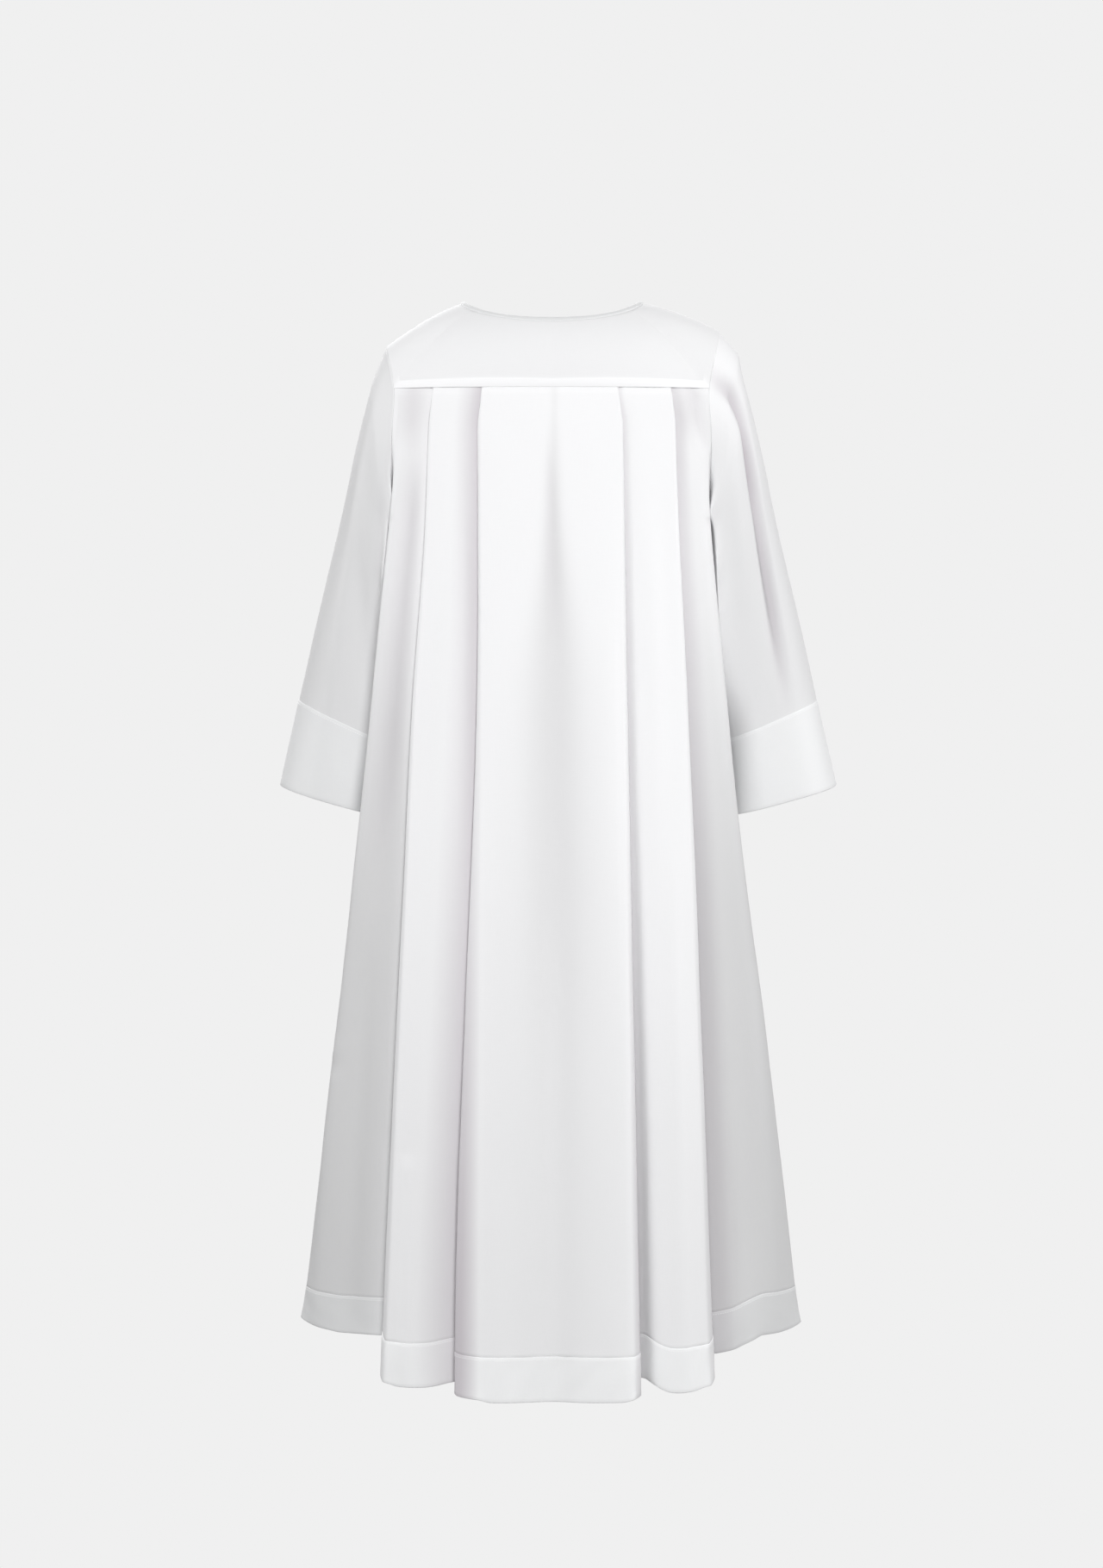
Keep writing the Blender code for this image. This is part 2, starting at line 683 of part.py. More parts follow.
def cuff(name, side, material):
    top = CUFF_SEAM + half_cuff_gap()
    places = [mix(top, len(RINGS) - 1.0, k / CUFF_ROWS) for k in range(CUFF_ROWS + 1)]
    outer, inner = sleeve_rows(side, places, BAND_RAISE, DOUBLE)
    return wall(name, outer, inner, material, ring=True)


def main():
    clear_scene()
    single = cloth_material("white_cloth", SINGLE_COLOUR, SINGLE_ROUGHNESS)
    band = cloth_material("white_double_cloth", DOUBLE_COLOUR, DOUBLE_ROUGHNESS)
    yoke(single.copy())
    neck_binding(band.copy())
    body_panel("back_panel", 1, single.copy())
    body_panel("front_panel", -1, single.copy())
    body_hem("hem_back", 1, band.copy())
    body_hem("hem_front", -1, band.copy())
    for side, label in ((1, "left"), (-1, "right")):
        sleeve("sleeve_" + label, side, single.copy())
        cuff("cuff_" + label, side, band.copy())


main()
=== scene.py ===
"""Looks of a long white rochet in the shape it has when worn, seen from behind.

Metres, +Z up, the front faces -Y, the wearer's left is +X. Each piece is a thin shell of cloth on the form of
its solid, with pressed pleats, soft creases, rolled edges and sewing. A face is 1 at the back and -1 at the
front, and a side is 1 on the left and -1 on the right.
"""
import functools
import math
from collections import namedtuple

import bmesh
import bpy
import numpy as np
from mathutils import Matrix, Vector, noise


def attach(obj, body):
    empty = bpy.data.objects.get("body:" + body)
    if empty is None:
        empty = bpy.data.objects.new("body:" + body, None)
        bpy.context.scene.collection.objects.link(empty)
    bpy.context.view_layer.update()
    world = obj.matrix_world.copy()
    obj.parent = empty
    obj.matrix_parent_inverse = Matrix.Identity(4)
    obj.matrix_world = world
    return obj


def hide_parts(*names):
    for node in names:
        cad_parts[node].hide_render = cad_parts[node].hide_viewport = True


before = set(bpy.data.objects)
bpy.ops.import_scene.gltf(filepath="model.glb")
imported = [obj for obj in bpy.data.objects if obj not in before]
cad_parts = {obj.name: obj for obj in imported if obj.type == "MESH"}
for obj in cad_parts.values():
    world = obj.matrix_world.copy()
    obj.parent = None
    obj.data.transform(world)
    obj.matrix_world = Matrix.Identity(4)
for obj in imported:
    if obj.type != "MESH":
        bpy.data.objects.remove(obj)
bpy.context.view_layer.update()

# Cloth
SINGLE = 0.0007         # thickness of one layer
DOUBLE = 0.0015         # thickness of turned or folded cloth
SEAM = 0.0003           # gap between two pieces at a seam
BAND_RAISE = 0.0006     # how far double bands stand proud of the single cloth
TUCK = 0.004            # how far a piece runs in under the band or welt that holds it
UNDER_WELT = 0.0005     # and how far its top edge lies under the welt
UNDER_YOKE = 0.003      # and its hidden edge inside the yoke

# Neck and binding
NECK_HALF = 0.0985      # half width of the neck hole
NECK_BACK = 0.070       # from the middle of the neck to the nape
NECK_FRONT = 0.085      # from the middle of the neck to the throat
NECK_TOP = -0.002       # level of the neck on the shoulder line
NAPE_DIP = 0.023        # the neck hole is this much lower at the nape
THROAT_DIP = 0.052      # and this much lower at the throat
NECK_DROP = 1.6         # how late the neck hole drops away from the shoulder line
NECK_ROUND = 2.4        # a higher value gives a squarer neck hole
BINDING = 0.007         # width of the binding
BINDING_PUFF = 0.0009   # how far its middle rounds out
PUFF_FROM = 0.15        # its round section starts at this share of half a wave
PUFF_LONG = 0.8
BINDING_ROWS = 8

# Armhole, a squared oval that stands across the shoulder end
ARMHOLE_TOP = -0.046
ARMHOLE_LOW = -0.250
ARMHOLE_DEEP = 0.0945   # half width of the armhole, front to back
ARMHOLE_ROUND = 2.2
SHOULDER_MOVES = {1: (-0.001, -0.007), -1: (0.003, 0.010)}     # each shoulder's end, moved out and up
SHOULDER_WIDE = 34.0    # over this angle
CORNERS = {1: 67.5, -1: 78.75}      # angle from the top of the armhole to the yoke seam
SHOULDER_STEPS = 48     # steps of the yoke along the armhole, from seam to seam
UNDER_STEPS = 22        # steps of each panel along the armhole, from yoke seam to underarm

# Yoke
SAME_POINT = 1e-6       # points this close are one
YOKE_STEPS = 96         # steps along each yoke seam
YOKE_ROWS = 20          # steps from the binding to the welt
WELT_ROWS = 8
YOKE_CROWN = 0.009      # how far the yoke rounds out over the shoulders
CROWN_BACK = 0.8        # share of it that also goes back at the nape and forward at the throat
CROWN_LEAST = 0.35      # share of it that is left in the middle and on the shoulder line
NECK_BACK_CORNER = 58.0     # angle round the neck that faces the yoke's back corner
NECK_FRONT_CORNER = 122.0   # and its front corner
YOKE_UNDER = 0.002      # how far the yoke runs in under the binding
YOKE_NEAR = 0.01        # share of the way outwards that gives its slope
YOKE_HELD = 5.0         # the binding holds it even over this many rows
YOKE_BACKING_AND_SHADE = 0.64     # the yoke is nearly as white as double cloth, less by painted shade on its top, which faces the light
WELT_RAISE = 0.0006     # the pressed welt along the yoke seams
WELT_WIDE = 0.010
WELT_SQUARE = 1.1       # its section is this much of half a wave,
WELT_ROUND = 0.6        # a lower value gives a fuller one,
WELT_ENDS = 0.9         # and it ends at this share of its width
WELT_FADES = 1          # columns over which it fades out up the armholes

# Hem
HEM_LEVEL = -1.175      # lower edge of the hem at the sides
HEM_DEEP = 0.047
DIPS = {1: 0.041, -1: 0.014}        # the middle hangs this much lower
WING_HANGS = {1: {1: -0.35, -1: 0.80}, -1: {1: 0.60, -1: 0.80}}    # share of that which is left at the sides
WING_FROM = 1.8         # from this many controls before them on,
WING_LATE = 1.6         # over this many
EDGE_HELD = 0.8         # a folded edge keeps its level over this many controls
SIDE_RISES = {1: 0.007, -1: 0.001}  # the hem is this much shorter at the sides
SIDE_FROM = 13.5        # from this control
SIDE_LONG = 1.0
OUTER_RISE = 0.004      # and rounds up this much more
OUTERMOST = 17.4        # round this control
OUTER_WIDE = 0.55
DIP_FROM = 0.3          # the dip starts where a section reaches this share of its middle
PANEL_ROWS = {1: 112, -1: 84}    # steps of the back and front from the underarm to the hem
HEM_ROWS = 12
CORNER_LIFT = 0.0025    # the hem's lower corners round up this much at the folded edges
CORNER_WIDE = 0.010     # over this width on either side of them
CORNER_LATE = 3         # a higher value keeps it nearer the lower edge
CORNER_ENDS = 2.6       # it ends this many controls beyond the edge,
CORNER_ENDED = 1.8      # over this many
PUCKER = 0.0007         # puckers of turned cloth
PUCKER_LONG = 0.016
PUCKER_TALL = 0.040
PUCKER_SLANT = 0.7      # they move sideways by this share of the way down
PUCKER_PLACE = 4.0      # where their pattern is taken from
SPAN_STEPS = {1: 9, -1: 8}       # points for each control of a body section
SMOOTHINGS = 6
RIPPLE_HELD = 0.05      # the yoke seam holds the cloth even over this length

# Knife pleats
NOSE_SHARE = 0.15       # depth of a pleat's rounded edge, as a share of the fold's
SHOULDER_SHARE = 0.52   # and the rounding ends at this share of it
FULL_LEAN = 0.020       # a lean of this size has a full roll's shade
TURN_LEAST = 0.0010     # least depth of the turn hidden under it
TURN_SHARE = 0.30
PRESSED = 0.0020        # depth of a pleat where the yoke seam holds it flat
PRESSED_LONG = 0.045    # length over which it opens to its own depth
OPENING = 1.2           # how late the pleats open on their way down
EDGE_DRIFT = 0.9        # how soon the folded edges move towards their places at the hem

# Plain cloth between the pleats
FALL = 3.0              # how late a section falls off from the middle to the sides
VALLEY_START = 1.3      # how soon the soft middle fold opens
LOBE_OUT = 0.004        # how far a lobe rounds out sideways below the armhole
LOBE_AWAY = 0.014       # and away from the middle
LOBE_START = 2.0        # how soon it does

# Sleeve
SLEEVE_ROUND = 2.3
BESIDE = 138.0          # angle of the sleeve's back that lies beside the body
BESIDE_WIDE = 26.0
BESIDE_ROUND = 4.0      # it is this much squarer there
BESIDE_START = 0.5      # up to this row of RINGS more and more
BESIDE_FADE = {1: 4.4, -1: 3.0}     # and from this row on less and less,
BESIDE_FADED = 2.0      # over this many rows
BESIDE_OUT = {1: 0.018, -1: 0.012}      # and it comes this far back along the body
OUT_FROM = 0.9          # from this row on,
OUT_LONG = 1.6          # over this many rows
SLEEVE_BACKING_AND_LIGHT = {1: 0.22, -1: 0.51}   # a single layer over a hollow looks a little greyer; the right sleeve's higher value is painted light
HEAD_PAINTED_HIGHLIGHT = 0.30     # painted highlight: near the armhole it is whiter
HEAD_LONG = 3.2         # up to this row of RINGS
BESIDE_PAINTED_LIGHT = 1.0    # and painted light where it lies beside the body, over the shade between them
BESIDE_FROM = 128.0     # from this angle on
BESIDE_TO = 156.0
# The cuffs' tone; the right cuff's higher value is painted light.
CUFF_BACKING_AND_LIGHT = {1: 0.28, -1: 0.64}
SLEEVE_COLUMNS = 168
SLEEVE_ANGLES = [360.0 * k / SLEEVE_COLUMNS for k in range(SLEEVE_COLUMNS)]
SLEEVE_ROWS = 104       # steps from the armhole to the cuff
SLEEVE_CLOSE = 1.15     # how much closer together they are at the head
SLEEVE_NEAR = 0.04      # rows of RINGS before and after a ring that give its slope
SLEEVE_HELD = 0.8       # the seam holds the cloth even up to this row
FOLD_BEGIN = 0.3        # shares of their length over which the sleeve's creases begin and end
FOLD_END = 0.4
CUFF_ROWS = 22
RIGHT_SWING = 0.016     # the right sleeve hangs this much further out
SWING_START = 2.0       # how soon it swings out
SWING_INNER = 0.4       # the inner rail's share of the swing
SLEEVE_TUCK = {1: 0.013, -1: 0.022}     # how far the sleeve's inner side rounds in towards the body
TUCK_START = 0.4        # over this many rows of RINGS
TUCK_FADE = 4.2         # until this row
TUCK_NARROW = 3         # and only this close to its inner rail
TROUGH_START = 0.14     # a trough reaches its depth at this share of the sleeve
TROUGH_FADE = 0.5       # starts to fade here
TROUGH_FADED = 0.85     # has faded here
TROUGH_LEFT = 0.4       # and keeps this share of its depth

SEAM_SUNK = 0.0009      # the sleeve's head lies this much lower at the armhole seam
SEAM_TUCK = 0.004       # and runs in this far under the body,
SEAM_DEEPER = 4.0       # this many times lower,
SEAM_FROM = 0.4         # but not at the underarm: from this share of the half width out,
SEAM_LONG = 0.3         # over this much of it, which is this much sooner on the upper half

# Where the body reaches to beside a sleeve
WALL_TOP = -0.14        # between this level
WALL_LOW = -0.64        # and this one,
WALL_ROWS = 50          # in this many steps down
WALL_DEEP = 0.17        # this far to the back and front,
WALL_COLUMNS = 85       # in this many steps
WALL_NEAR = 0.006       # cloth this near to a step counts
WALL_SMOOTHINGS = 4
WALL_END = 0.001        # a place stays this much inside the last step
SLEEVE_CLEAR = 0.0022   # the sleeves stay this far clear of the body
CLEAR_START = 0.25      # from this row of RINGS on
CLEAR_TOP = -0.215      # and from this level down
CLEAR_LONG = 0.055
RING_SMOOTHINGS = 10    # times that a sleeve's ring is made even,
RING_SMOOTHED = 0.8     # from this row on in full

# Sewing
STITCH_PITCH = 0.0028
STITCH_LONG = 0.0022
THREAD = 0.00042
STITCH_END = 0.4        # its ends, beyond this share of its length from the middle,
STITCH_DIVE = 0.6       # dive in by this share of its thickness
STITCH_NEAR = 0.0005    # distance before and after a stitch that gives its direction
STITCH_IN = 0.0024      # from a hem's upper edge to its row of stitches
CUFF_STITCH = 0.03      # share of a cuff down to its row
WELT_STITCH_ROW = 2     # the row of the welt that is stitched
HEAD_STITCH_ROW = 3     # and the row of the sleeve's head

Armhole = namedtuple("Armhole", "z x")
ARMHOLE_LINE = (
    Armhole(-0.046, 0.188),
    Armhole(-0.106, 0.176),
    Armhole(-0.155, 0.178),
    Armhole(-0.250, 0.178),
)

# Plan sections of the body. The middles and lobes are y distances from the middle of the garment,
# a lobe is the widest place behind or before the sleeve, and side is the side seam under it.
Level = namedtuple("Level", "z back lobe_left lobe_right lobe_y tuck side side_y "
                            "front front_lobe front_lobe_y")
LEVELS = (
    Level(-0.106, 0.115, 0.169, 0.169, 0.091, 0.000, 0.176, 0.088, 0.104, 0.168, 0.092),
    Level(-0.190, 0.125, 0.176, 0.176, 0.094, 0.001, 0.178, 0.060, 0.116, 0.172, 0.098),
    Level(-0.250, 0.132, 0.184, 0.182, 0.091, 0.008, 0.178, 0.000, 0.124, 0.177, 0.100),
    Level(-0.550, 0.166, 0.216, 0.213, 0.078, 0.000, 0.160, -0.042, 0.154, 0.194, 0.120),
    Level(-0.850, 0.202, 0.250, 0.249, 0.048, -0.006, 0.206, -0.052, 0.186, 0.230, 0.128),
    Level(-1.175, 0.247, 0.286, 0.284, -0.006, -0.004, 0.278, -0.060, 0.222, 0.264, 0.132),
)

# Knife pleats, from the middle outwards: the folded edge's place at the yoke seam and at the hem, how far it
# lags near the seam, how deep the fold is at both, how far the cloth runs back under it, and how far the edge
# leans out at the hem. Then the cloth beyond the leaning edge: the distances, at the seam and at the hem, of
# the groove's low line and of the place where the groove ends, each with the share of the fold's depth that
# the cloth sinks there. Last, how strong the fold's painted lilac shade is, the control after the edge where
# it is half gone, and over how many controls it goes.
Pleat = namedtuple("Pleat", "top hem lag deep_top deep_hem under_top under_hem lean "
                            "near_top near_hem near_sunk far_top far_hem far_sunk shade ends reach")
BACK_PLEATS = {
    1: (Pleat(0.0780, 0.0735, 0.000, 0.0066, 0.066, 0.026, 0.048, 0.046,
              0.004, -0.002, 0.47, 0.014, 0.029, 0.46, 0.92, 5.5, 1.6),
        Pleat(0.1320, 0.1835, 0.004, 0.0066, 0.074, 0.024, 0.046, 0.010,
              0.003, -0.008, 0.36, 0.030, 0.040, 0.35, 0.10, 5.2, 1.8)),
    -1: (Pleat(0.0745, 0.0885, 0.000, 0.0066, 0.064, 0.026, 0.050, 0.014,
               0.002, 0.003, 0.88, 0.008, 0.015, 0.24, 0.64, 5.1, 0.8),
         Pleat(0.1335, 0.1728, 0.003, 0.0066, 0.070, 0.024, 0.044, 0.012,
               0.003, 0.013, 0.74, 0.011, 0.034, 0.44, 0.46, 5.5, 1.0)),
}
FRONT_PLEATS = {
    1: (Pleat(0.0680, 0.0830, 0.000, 0.0066, 0.052, 0.024, 0.042, 0.012,
              0.003, 0.005, 0.84, 0.011, 0.018, 0.26, 0.60, 5.1, 0.8),
        Pleat(0.1210, 0.1700, 0.003, 0.0066, 0.056, 0.022, 0.040, 0.010,
              0.006, 0.006, 0.56, 0.024, 0.036, 0.42, 0.34, 5.3, 1.2)),
    -1: (Pleat(0.0700, 0.0790, 0.000, 0.0066, 0.050, 0.024, 0.042, 0.030,
               0.004, 0.001, 0.54, 0.014, 0.026, 0.36, 0.80, 5.5, 1.6),
         Pleat(0.1200, 0.1640, 0.003, 0.0066, 0.058, 0.022, 0.040, 0.010,
               0.003, -0.006, 0.39, 0.028, 0.038, 0.37, 0.14, 5.2, 1.6)),
}
PLEATS = {1: BACK_PLEATS, -1: FRONT_PLEATS}
LAG_PLACE = 0.15        # the folded edges lag most at this share of the way down
LAG_LONG = 0.13
LEAN_TOP = 0.007        # lean of every folded edge just below the yoke seam
LEAN_FROM = 0.20        # the folded edges start to lean at this share of the way down
LEAN_NOSE = 0.36        # share of the lean that the folded edge's nose has
FAR_SUNK_TOP = 0.30     # near the yoke seam the groove ends this much shallower
FAR_OPENS = 0.40
LEAN_SHOWN = 0.75       # the rounded edge reaches this share of its lean
FAR_MOST = 0.7          # the groove ends at this share of the way to the next edge at the latest
CENTRE_VALLEY = {1: 0.012, -1: 0.010}     # depth of the soft fold at the hem, back and front

# How far the cloth beside the middle fold sinks at a place on the way to the first folded edge, as a share
# of the middle fold's depth.
Sag = namedtuple("Sag", "place sunk")
MIDDLE_SAGS = (Sag(0.36, 0.25), Sag(0.74, 0.10))

# A half section's controls, counted from the middle: its folded edges, and the runs of outer cloth in the
# middle, in the flank and in the wing.
EDGES = (3.0, 10.0)
Run = namedtuple("Run", "start end")
RUNS = (Run(-3.1, 3.1), Run(7.8, 10.1), Run(14.8, 17.6))
WING = RUNS[-1].start
HIDDEN_FROM = 1.2       # the cloth is hidden this many controls beyond a folded edge
EDGE_KEEP = 0.5         # creases fade out over this many controls before a folded edge
END_KEEP = 0.025        # and over this many metres before a panel's own seams

# Where the hem band hangs higher: place x, half width and how much, back and front.
Lift = namedtuple("Lift", "x wide rise")
HEM_LIFTS = {
    1: (Lift(0.104, 0.026, 0.011), Lift(-0.103, 0.020, 0.012),
        Lift(0.030, 0.040, 0.002), Lift(-0.220, 0.030, 0.004)),
    -1: (Lift(0.100, 0.024, 0.008), Lift(-0.108, 0.026, 0.010),
         Lift(-0.020, 0.040, 0.002), Lift(0.200, 0.030, 0.004)),
}
LIFT_FROM = 0.80        # the lifts begin at this share of the way down to the band,
LIFT_OUT = 1.5          # this many controls beyond the first folded edge
LIFT_LATE = 2.5         # and are whole this many further out

# Soft creases of the body by their place x at two levels, how far they bow sideways, the shares of their
# length over which they begin and end, their half width at both levels, how far they rise or, below zero,
# sink, and how much painted fold shade they have, if any.
Crease = namedtuple("Crease", "top_x top_z low_x low_z bow begin end wide_top wide_low rise shade",
                    defaults=(0.0,))
CREASES = {
    1: (
        Crease(0.004, -0.140, -0.004, -0.420, 0.000, 0.35, 0.50, 0.004, 0.013, -0.0022, 0.19),
        Crease(0.000, -0.200, -0.006, -0.900, 0.000, 0.30, 0.60, 0.012, 0.040, -0.0030, 0.06),
        Crease(-0.004, -0.560, -0.010, -1.300, 0.002, 0.40, 0.10, 0.034, 0.044, -0.0030),
        Crease(-0.062, -0.200, -0.064, -0.900, 0.002, 0.40, 0.45, 0.014, 0.018, 0.0020),
        Crease(0.056, -0.260, 0.050, -0.960, -0.003, 0.40, 0.45, 0.016, 0.020, 0.0018),
        Crease(0.036, -0.800, 0.030, -1.250, 0.003, 0.45, 0.10, 0.012, 0.016, -0.0014),
        Crease(0.112, -0.130, 0.126, -0.820, 0.003, 0.30, 0.50, 0.012, 0.018, 0.0026),
        Crease(0.096, -0.150, 0.098, -0.760, -0.001, 0.30, 0.50, 0.008, 0.016, -0.0034),
        Crease(0.160, -0.520, 0.166, -1.230, 0.004, 0.45, 0.15, 0.013, 0.016, 0.0030),
        Crease(-0.106, -0.150, -0.118, -0.760, -0.002, 0.35, 0.50, 0.012, 0.016, 0.0020),
        Crease(-0.140, -0.480, -0.150, -1.230, 0.004, 0.45, 0.15, 0.012, 0.016, 0.0030),
        Crease(0.151, -0.150, 0.200, -0.720, 0.001, 0.20, 0.40, 0.011, 0.023, -0.0070, 0.34),
        Crease(0.155, -0.102, 0.157, -0.190, 0.000, 0.05, 0.60, 0.014, 0.011, -0.0004, 0.34),
        Crease(-0.151, -0.102, -0.154, -0.180, 0.000, 0.05, 0.60, 0.012, 0.010, -0.0004, 0.24),
        Crease(0.208, -0.600, 0.238, -1.200, -0.004, 0.40, 0.15, 0.016, 0.022, -0.0030),
        Crease(0.236, -0.760, 0.268, -1.220, 0.004, 0.45, 0.15, 0.014, 0.018, 0.0026),
        Crease(-0.160, -0.100, -0.174, -0.182, 0.001, 0.20, 0.40, 0.007, 0.005, -0.0052, 0.16),
        Crease(-0.190, -0.420, -0.222, -1.160, -0.003, 0.40, 0.15, 0.016, 0.022, -0.0034),
        Crease(-0.226, -0.700, -0.258, -1.200, 0.003, 0.45, 0.15, 0.014, 0.020, 0.0028),
    ),
    -1: (
        Crease(-0.003, -0.160, 0.002, -0.420, 0.000, 0.35, 0.50, 0.004, 0.013, -0.0024, 0.19),
        Crease(0.000, -0.210, 0.006, -0.880, 0.000, 0.30, 0.60, 0.012, 0.038, -0.0030, 0.06),
        Crease(0.044, -0.240, 0.052, -0.980, 0.003, 0.40, 0.45, 0.015, 0.020, 0.0020),
        Crease(-0.048, -0.220, -0.046, -0.860, -0.002, 0.40, 0.45, 0.014, 0.018, 0.0018),
        Crease(-0.006, -0.560, -0.010, -1.260, 0.002, 0.40, 0.10, 0.032, 0.040, -0.0030),
        Crease(0.104, -0.160, 0.124, -0.900, 0.003, 0.35, 0.45, 0.012, 0.016, 0.0024),
        Crease(-0.100, -0.150, -0.116, -0.820, -0.003, 0.35, 0.50, 0.012, 0.016, 0.0022),
        Crease(-0.128, -0.560, -0.138, -1.190, 0.004, 0.45, 0.15, 0.012, 0.016, -0.0022),
        Crease(0.170, -0.420, 0.204, -1.160, -0.003, 0.40, 0.15, 0.016, 0.020, -0.0028),
        Crease(-0.166, -0.380, -0.198, -1.140, 0.003, 0.40, 0.15, 0.015, 0.020, -0.0030),
    ),
}

# Sections of a sleeve: the outer and inner rail, and the middle and half width from front to back.
Ring = namedtuple("Ring", "outer_x outer_z inner_x inner_z middle deep")
RINGS = (
    Ring(0.188, -0.046, 0.178, -0.250, 0.000, 0.0945),
    Ring(0.205, -0.099, 0.188, -0.268, -0.002, 0.0880),
    Ring(0.2226, -0.1675, 0.191, -0.300, -0.010, 0.0830),
    Ring(0.243, -0.260, 0.192, -0.352, -0.024, 0.0850),
    Ring(0.268, -0.360, 0.190, -0.418, -0.040, 0.0920),
    Ring(0.2906, -0.456, 0.191, -0.503, -0.054, 0.0980),
    Ring(0.313, -0.553, 0.195, -0.588, -0.060, 0.1010),
)
CUFF_SEAM = 5           # the row of RINGS where the cuff starts

# Long soft troughs down a sleeve, by their angle round it at the head and at the cuff.
Trough = namedtuple("Trough", "top low wide deep")
TROUGHS = {
    1: (Trough(62, 112, 26, 0.006), Trough(250, 285, 30, 0.007)),
    -1: (Trough(52, 84, 22, 0.010), Trough(255, 290, 30, 0.006)),
}

# Narrower creases of the sleeves: angles round it at the start and end, the rows of RINGS between which they
# run, their half width in degrees, how far they rise or sink, and how much painted fold shade they have, if
# any.
Fold = namedtuple("Fold", "top low start end wide rise shade", defaults=(0.0,))
FOLDS = {
    1: (
        Fold(112, 118, 0.6, 4.6, 9, -0.0030, 0.08),
        Fold(58, 74, 0.8, 5.2, 13, 0.0014),
        Fold(128, 138, 0.6, 4.4, 12, 0.0016),
        Fold(84, 130, 2.2, 5.8, 10, -0.0012),
        Fold(300, 318, 0.8, 4.8, 12, -0.0030),
        Fold(235, 250, 0.8, 5.0, 12, 0.0022),
    ),
    -1: (
        Fold(55, 70, -0.2, 2.6, 8, -0.0085, 0.80),
        Fold(68, 76, 1.0, 5.2, 8, -0.0080, 0.70),
        Fold(102, 112, 0.6, 4.4, 12, 0.0024),
        Fold(54, 66, 0.8, 4.8, 10, 0.0018),
        Fold(118, 136, 1.4, 5.6, 10, -0.0018),
        Fold(302, 322, 0.8, 4.8, 12, -0.0030),
        Fold(238, 256, 0.8, 5.0, 12, 0.0022),
    ),
}

# Each piece's flat cloth as far as it shows: width, length and area in m², and how it is held.
Sheet = namedtuple("Sheet", "wide long area held")

# Tones of the cloth. The greyer ones also serve as painted shade and the whiter ones as painted light.
THREAD_PITCH = 0.00055  # one thread of the weave
THIN_SHADED = (0.645, 0.645, 0.65)
FULL_LIT = (0.865, 0.865, 0.875)
DOUBLE_THIN_SHADED = (0.69, 0.695, 0.70)
DOUBLE_FULL_LIT = (0.915, 0.92, 0.926)
SLUB_TINT = (0.955, 0.955, 0.955)
PAINTED_SHADE_TINT = (0.65, 0.61, 0.64)      # painted shade inside the folds and grooves: what is left of the light there, a little lilac
WEAVE_HIGH = 0.00012
WEAVE_SHARE = 0.6       # share of the weave in that relief
SLUB_SHARE = 1.6        # and of its uneven threads
WEAVE_STRONG = 0.35
DULL = 0.78             # least roughness of the cloth
DULL_UNEVEN = 0.08      # and how much it grows with uneven threads
SHEEN = 0.12
SHEEN_DULL = 0.45
SHINE = 0.25
SEWING_TINT = (0.90, 0.90, 0.905, 1.0)
SEWING_DULL = 0.5
TWIST_SCALE = 2600.0    # twist of the sewing thread
TWIST_STRONG = 0.3
TWIST_HIGH = 0.0001
TWIST_DULL = 0.1
SLUB_SCALES = ((1400.0, 60.0, 1.0), (60.0, 1400.0, 1.0))     # threads that run down and across

# Along the soft middle fold of a panel the single cloth is greyer: partly as the pleats' layers don't back
# it, partly as painted shade of the fold. How much and how wide, by level.
ThinAndShade = namedtuple("ThinAndShade", "z share wide")
MIDDLE_THIN_AND_SHADE = (
    ThinAndShade(-0.130, 0.20, 0.004),
    ThinAndShade(-0.200, 0.40, 0.007),
    ThinAndShade(-0.260, 0.44, 0.010),
    ThinAndShade(-0.440, 0.50, 0.034),
    ThinAndShade(-0.630, 0.42, 0.046),
    ThinAndShade(-0.820, 0.24, 0.056),
    ThinAndShade(-1.180, 0.10, 0.060),
)
MIDDLE_PLACE = -0.003
WING_TOP = -0.20        # painted light: the sides are lighter above this level
WING_LONG = 0.55        # and less and less over this length
WING_TOP_PAINTED_LIGHT = 0.90
LOW_PAINTED_SHADE = 0.26         # painted shade: towards the hem all of it is this much darker
LOW_FROM = -0.50
LOW_LONG = 0.60
ROLL_PAINTED_SHADE = 1.00       # a rolling edge has this share of a fold's painted shade
ROLL_FROM = 0.35
ROLL_LONG = 0.95

# Soft unevenness of hanging cloth: size across and down, and how far it goes.
Ripple = namedtuple("Ripple", "across down rise")
RIPPLES = (Ripple(0.055, 0.260, 0.0011), Ripple(0.022, 0.070, 0.0003))

# Camera, 4.5 m behind the garment
EYE = (0.0, 4.5, -0.394)
TILT = 2.0              # degrees downwards
LENS = 90.4
SENSOR = 36.0

# Studio
FLOOR_LEVEL = -1.43
FLOOR_REACH = 14.0
PALE = 0.871            # brightness of the pale surroundings
AMBIENT = 0.46          # soft light from all round
FLOOR_DULL = 0.12       # brightness of the floor that the garment sees
Lamp = namedtuple("Lamp", "name place aim size power")
LAMPS = (
    Lamp("key", (-0.35, 3.9, 0.8), (0.0, 0.0, -0.2), 1.5, 126.0),
    Lamp("left_fill", (4.2, -0.6, 0.4), (0.0, 0.0, -0.6), 2.4, 76.0),
    Lamp("right_fill", (-4.2, -0.6, 0.4), (0.0, 0.0, -0.6), 2.4, 76.0),
    Lamp("front_fill", (0.8, -4.4, 2.0), (0.0, 0.0, -0.3), 2.0, 170.0),
)


# Curves and vectors

def mix(start, end, share):
    """The value or point that lies this share of the way from start to end."""
    if isinstance(start, (tuple, list)):
        return tuple(mix(a, b, share) for a, b in zip(start, end))
    return start + (end - start) * share


def move(point, direction, distance):
    return tuple(p + d * distance for p, d in zip(point, direction))


def between(a, b):
    return tuple(q - p for p, q in zip(a, b))


def unit_rows(vectors):
    return vectors / np.linalg.norm(vectors, axis=1)[:, None]


